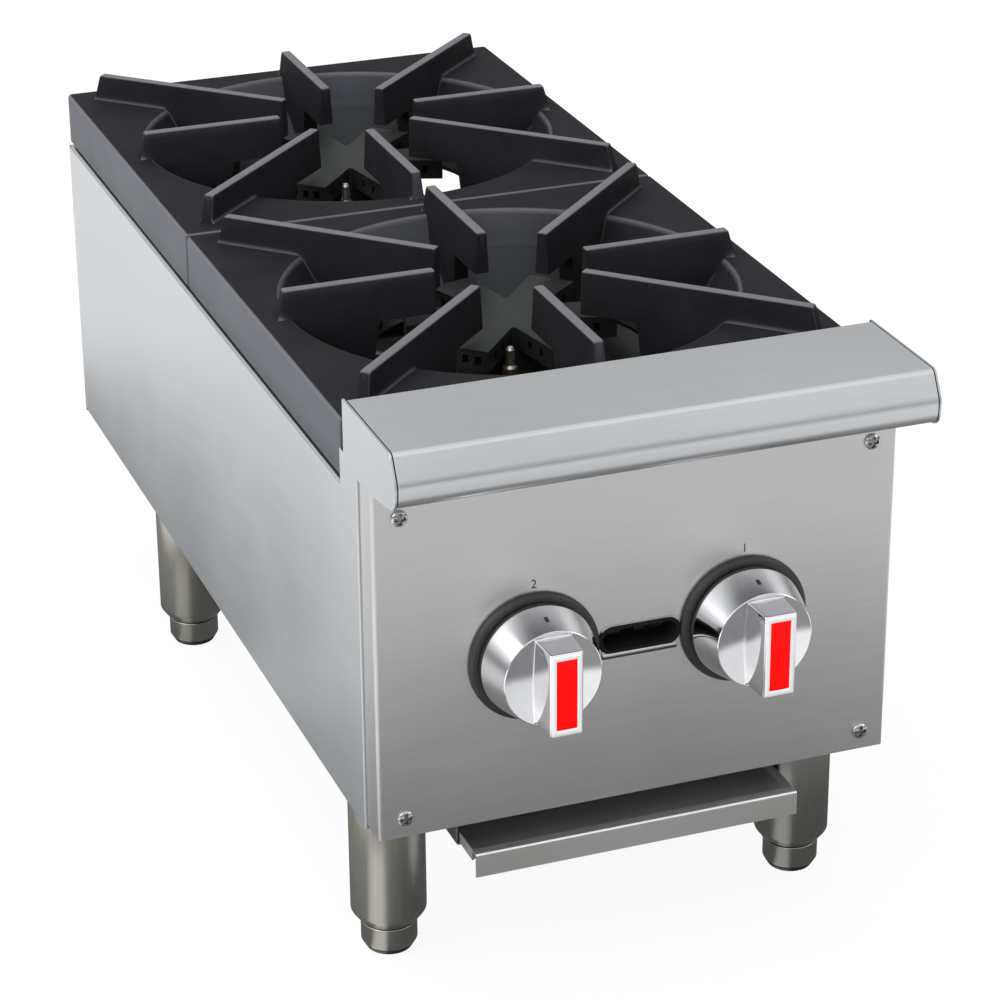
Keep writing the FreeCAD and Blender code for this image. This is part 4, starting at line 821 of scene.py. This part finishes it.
legShape = {"x": 128.3, "front": 64.5, "rear": 484.0, "turns": 72,
            "leg": [(0, 120.7), (5.0, 120.7), (5.0, 105.5), (22.2, 105.5), (22.2, 26.0), (17.4, 19.4),
                    (0, 19.4)],
            "legRounds": [0, 0.4, 0, 0.6, 4.0, 0.8, 0],
            "foot": [(0, 60.0), (14.4, 60.0), (14.4, 18.4), (16.5, 18.0), (16.5, 5.6), (15.4, 3.9), (0, 3.9)],
            "footRounds": [0, 0.5, 0.3, 0.5, 1.6, 0.3, 0],
            "blackBase": [(0, 4.1), (14.9, 4.1), (15.2, 3.4), (13.2, 0.0), (0, 0.0)],
            "blackBaseRounds": [0, 0.2, 0.5, 0.9, 0]}


def makeLegs():
    leg, foot, blackBase = (revolve(roundPath(legShape[key], legShape[key + "Rounds"]), legShape["turns"])
                      for key in ("leg", "foot", "blackBase"))
    for end in ("front", "rear"):
        for side, sign in sideSign.items():
            place, label = end + "_" + side, end + side.capitalize()
            at, footBody = (sign * legShape["x"], legShape[end], 0), place + "_foot"
            makePiece(label + "LegTube", [(leg + at, False, True)], "legSteel", "frame",
                      ["leg_" + place])
            makePiece(label + "FootTurned", [(foot + at, False, True)], "legSteel", footBody,
                      ["foot_" + place])
            # a black disc under each foot, which makes the foot's lowest edge dark
            makePiece(label + "FootBlackBase", [(blackBase + at, False, True)], "bezelBlack", footBody)
    print("legs made")


# Front ledge

ledgeShape = {"half": 153.7, "capInner": 154.4, "capOuter": 155.6, "capEdge": (0.15, 0.994), "sheet": 1.2,
              "outline": [(38.0, 328.2), (38.0, 358.5), (-38.0, 358.5), (-46.5, 343.0), (-45.5, 328.2),
                          (0.0, 328.2)],
              "rounds": [0, 2.2, 4.5, 12.0, 8.5, 0],
              "capOutline": [(40.2, 320.5), (40.2, 358.5), (-38.0, 358.5), (-46.5, 343.0), (-45.5, 328.2),
                             (-6.0, 321.5)],
              "capRounds": [0, 1.2, 4.5, 12.0, 8.5, 8.0]}


def makeLedge():
    # the folded sheet's section is its outer line and the same line moved in by the sheet's thickness
    outer = roundPath(ledgeShape["outline"], ledgeShape["rounds"], 10)
    step = np.gradient(outer, axis=0)
    step /= np.linalg.norm(step, axis=1, keepdims=True)
    inner = outer + ledgeShape["sheet"] * np.stack([-step[:, 1], step[:, 0]], -1)
    half = ledgeShape["half"]
    loop = np.concatenate([outer, inner[::-1]])
    grid = np.stack([np.insert(loop, 0, x, axis=1) for x in (-half, -half / 2, 0, half / 2, half)])
    sheets = [(grid, False, True)]
    for x in (-half, half):
        sheets.append((np.stack([np.insert(line, 0, x, axis=1) for line in (outer, inner)]), False, False))
    makePiece("ledgeFold", sheets, "ledgeSteel", "frame", ["front_ledge"], sharp=40)
    outer = roundPath(ledgeShape["capOutline"], ledgeShape["capRounds"], 10, True)
    middle = outer.mean(0)
    inset, shrunk = ledgeShape["capEdge"]
    capInner, capOuter = ledgeShape["capInner"], ledgeShape["capOuter"]
    levels = [(capInner, 1.0), (capOuter - inset, 1.0), (capOuter, shrunk)]
    for side, sign in sideSign.items():
        rows = [np.insert(middle + (outer - middle) * share, 0, sign * x, axis=1) for x, share in levels]
        makePiece(side + "LedgeCap", [(closeEnds(rows), False, True)], "sideSteel", "frame",
                  ["ledge_cap_" + side], sharp=12)
    print("ledge made")


# Small pieces on the body

screwShape = {"radius": 4.6, "height": 2.7, "crown": 5.1, "flange": 0.4, "recess": 2.1, "arm": (0.8, 1.15),
              "reach": (2.9, 3.4), "inner": (3.4, 16), "outer": (3.6, 7), "turns": 64,
              "cross": (0.75, 2.7), "crossLevels": [(0, 0.6), (1, 0.6), (1, 1.0), (0, 1.0)],
              "places": [(-138.5, 121.0), (138.5, 121.0), (-138.5, 303.0), (138.5, 303.0)]}
pilotShape = {"x": -17.0, "back": 46.0, "turns": 32, "rounds": [0, 0.4, 0.8, 0.6, 0.6, 0.4, 0],
              "turned": [(0, 324.0), (1.5, 324.0), (2.7, 322.4), (2.7, 313.0), (4.4, 311.6), (4.4, 302.0),
                         (0, 302.0)]}
hemShape = {"x": 154.2, "y": 21.2, "radius": 1.1, "turns": 16, "low": 106.5, "high": 326.5}
# the slot's black sleeve is painted shade for the dark inside of the body
# growth of the sleeve's outline and depth, once round its section
slotShadeSleeveShape = {"half": (23.0, 6.9), "corner": 6.6, "rise": 0.9,
              "section": [(0, -16.0), (0, 0.2), (1.7, 0.2), (1.7, 0.9), (1.3, 1.3), (-0.7, 1.3), (-0.9, 1.0),
                          (-0.9, -16.0)]}
lipShape = {"half": 21.5, "out": 0.5, "turns": 20,
            "bars": [("pilotSlotLip", "ledgeSteel", "body_steel", 8.0, 1.2),
                     # the second, dark bar is painted shadow under the lip
                     ("pilotSlotLipShadow", "bezelBlack", "bezel_black", 9.6, 0.9)]}


def panHead():
    # domed head: height falls as a circle of the crown's radius, less a cross-shaped recess
    (innerEnd, innerCount), (outerStart, outerCount) = screwShape["inner"], screwShape["outer"]
    outer = np.linspace(outerStart, screwShape["radius"], outerCount)
    radius = np.concatenate([np.linspace(0, innerEnd, innerCount), outer])[:, None]
    turn = np.linspace(0, 2 * math.pi, screwShape["turns"], endpoint=False)[None]
    x, y = radius * np.cos(turn), radius * np.sin(turn)
    dome = screwShape["height"] * np.sqrt(np.maximum(1 - (radius / screwShape["crown"]) ** 2, 0)) + 0 * turn

    def fade(value, limits):
        t = np.clip((limits[1] - abs(value)) / (limits[1] - limits[0]), 0, 1)
        return t * t * (3 - 2 * t)

    arm, reach = screwShape["arm"], screwShape["reach"]
    cross = np.maximum(fade(x, arm) * fade(y, reach), fade(y, arm) * fade(x, reach))
    top = np.stack([x, y, dome - screwShape["recess"] * cross], -1)
    edge = top[-1:] * (1, 1, 0)
    return np.concatenate([top, edge + (0, 0, screwShape["flange"]), edge, edge * (0, 0, 1)])


def makeSmallPieces():
    head = panHead()
    sheets = [(outFront(head, x, z), False, True) for x, z in screwShape["places"]]
    makePiece("panelScrewHeads", sheets, "fastenerSteel", "frame",
              ["front_panel_screws"], sharp=40)
    # painted shade: a dark floor in each cross-shaped recess, where shade falls; a cross with twelve corners
    # between two levels
    wide, long = screwShape["cross"]
    signs = np.array([(1, 1), (-1, 1), (-1, -1), (1, -1)])
    corners = [[(long, wide), (wide, wide), (wide, long)], [(wide, long), (wide, wide), (long, wide)]]
    cross = np.concatenate([np.array(corners[i % 2]) * sign for i, sign in enumerate(signs)])
    rows = [np.insert(cross * grow, 2, level, axis=1) for grow, level in screwShape["crossLevels"]]
    sheets = [(outFront(np.stack(rows), x, z), False, True) for x, z in screwShape["places"]]
    makePiece("panelScrewRecessShade", sheets, "frameSteel", "frame")
    tip = revolve(roundPath(pilotShape["turned"], pilotShape["rounds"], 4), pilotShape["turns"])
    for place, centre in grateShape["centres"].items():
        at = (pilotShape["x"], centre - pilotShape["back"], 0)
        makePiece(place + "PilotTip", [(tip + at, False, True)], "pilotBrass", "frame",
                  ["pilot_tip_" + place])
    # rolled front edges of the side panels: a thin round bar from the lower to the upper end
    ring = ringLoop(hemShape["radius"], hemShape["turns"])
    for side, sign in sideSign.items():
        loop = ring + (sign * hemShape["x"], hemShape["y"])
        rows = [np.insert(loop, 2, level, axis=1) for level in (hemShape["low"], hemShape["high"])]
        makePiece(side + "SideHem", [(closeEnds(rows), False, True)], "sideSteel", "frame")
    # black sleeve lining the pilot slot, with a lip on the panel's face: painted shade for the dark inside of
    # the body; a thin sleeve with a rounded-rectangle section
    (halfX, halfZ), corner = slotShadeSleeveShape["half"], slotShadeSleeveShape["corner"]
    section = slotShadeSleeveShape["section"]
    rows = [rectAt(halfX + grow, halfZ + grow, corner + grow, depth) for grow, depth in section]
    liner = outFront(np.stack(rows), 0, knobShape["z"] + slotShadeSleeveShape["rise"])
    makePiece("pilotSlotShadeSleeve", [(liner, True, True)], "slotBlack", "frame")
    # rolled lower lip of the slot and a dark bar under it that is painted shadow of the lip, round bars with
    # rounded ends
    bend = np.linspace(-quarter, quarter, 9)
    for name, finish, slot, drop, radius in lipShape["bars"]:
        ring = ringLoop(radius, lipShape["turns"])[:, ::-1]
        ends = [(-lipShape["half"] + radius * math.sin(b), math.cos(b)) for b in bend[:5]]
        ends += [(lipShape["half"] + radius * math.sin(b), math.cos(b)) for b in bend[4:]]
        centre = (-lipShape["out"], knobShape["z"] - drop)
        rows = [np.insert(ring * share + centre, 0, x, axis=1) for x, share in ends]
        makePiece(name, [(np.stack(rows), False, True)], finish, "frame")
    print("small pieces made")


bevelShape = {"nodes": ("burner_head_front", "burner_head_rear"), "width": 0.001, "segments": 2, "angle": 40}


def softenNodes():
    # a small bevel on the edges of the burner castings
    for name in bevelShape["nodes"]:
        bevel = nodes[name].modifiers.new("castEdge", "BEVEL")
        bevel.width, bevel.segments, bevel.limit_method = bevelShape["width"], bevelShape["segments"], "ANGLE"
        bevel.angle_limit = math.radians(bevelShape["angle"])


dressNodes()
softenNodes()
print("CAD pieces dressed")
makeGrates()
makeKnobs()
makeLegs()
makeLedge()
makeSmallPieces()
makeFloor()
makeSky()
makeLamps()
makeCamera()
bpy.context.scene.view_settings.view_transform = "Standard"
print("studio and camera set")
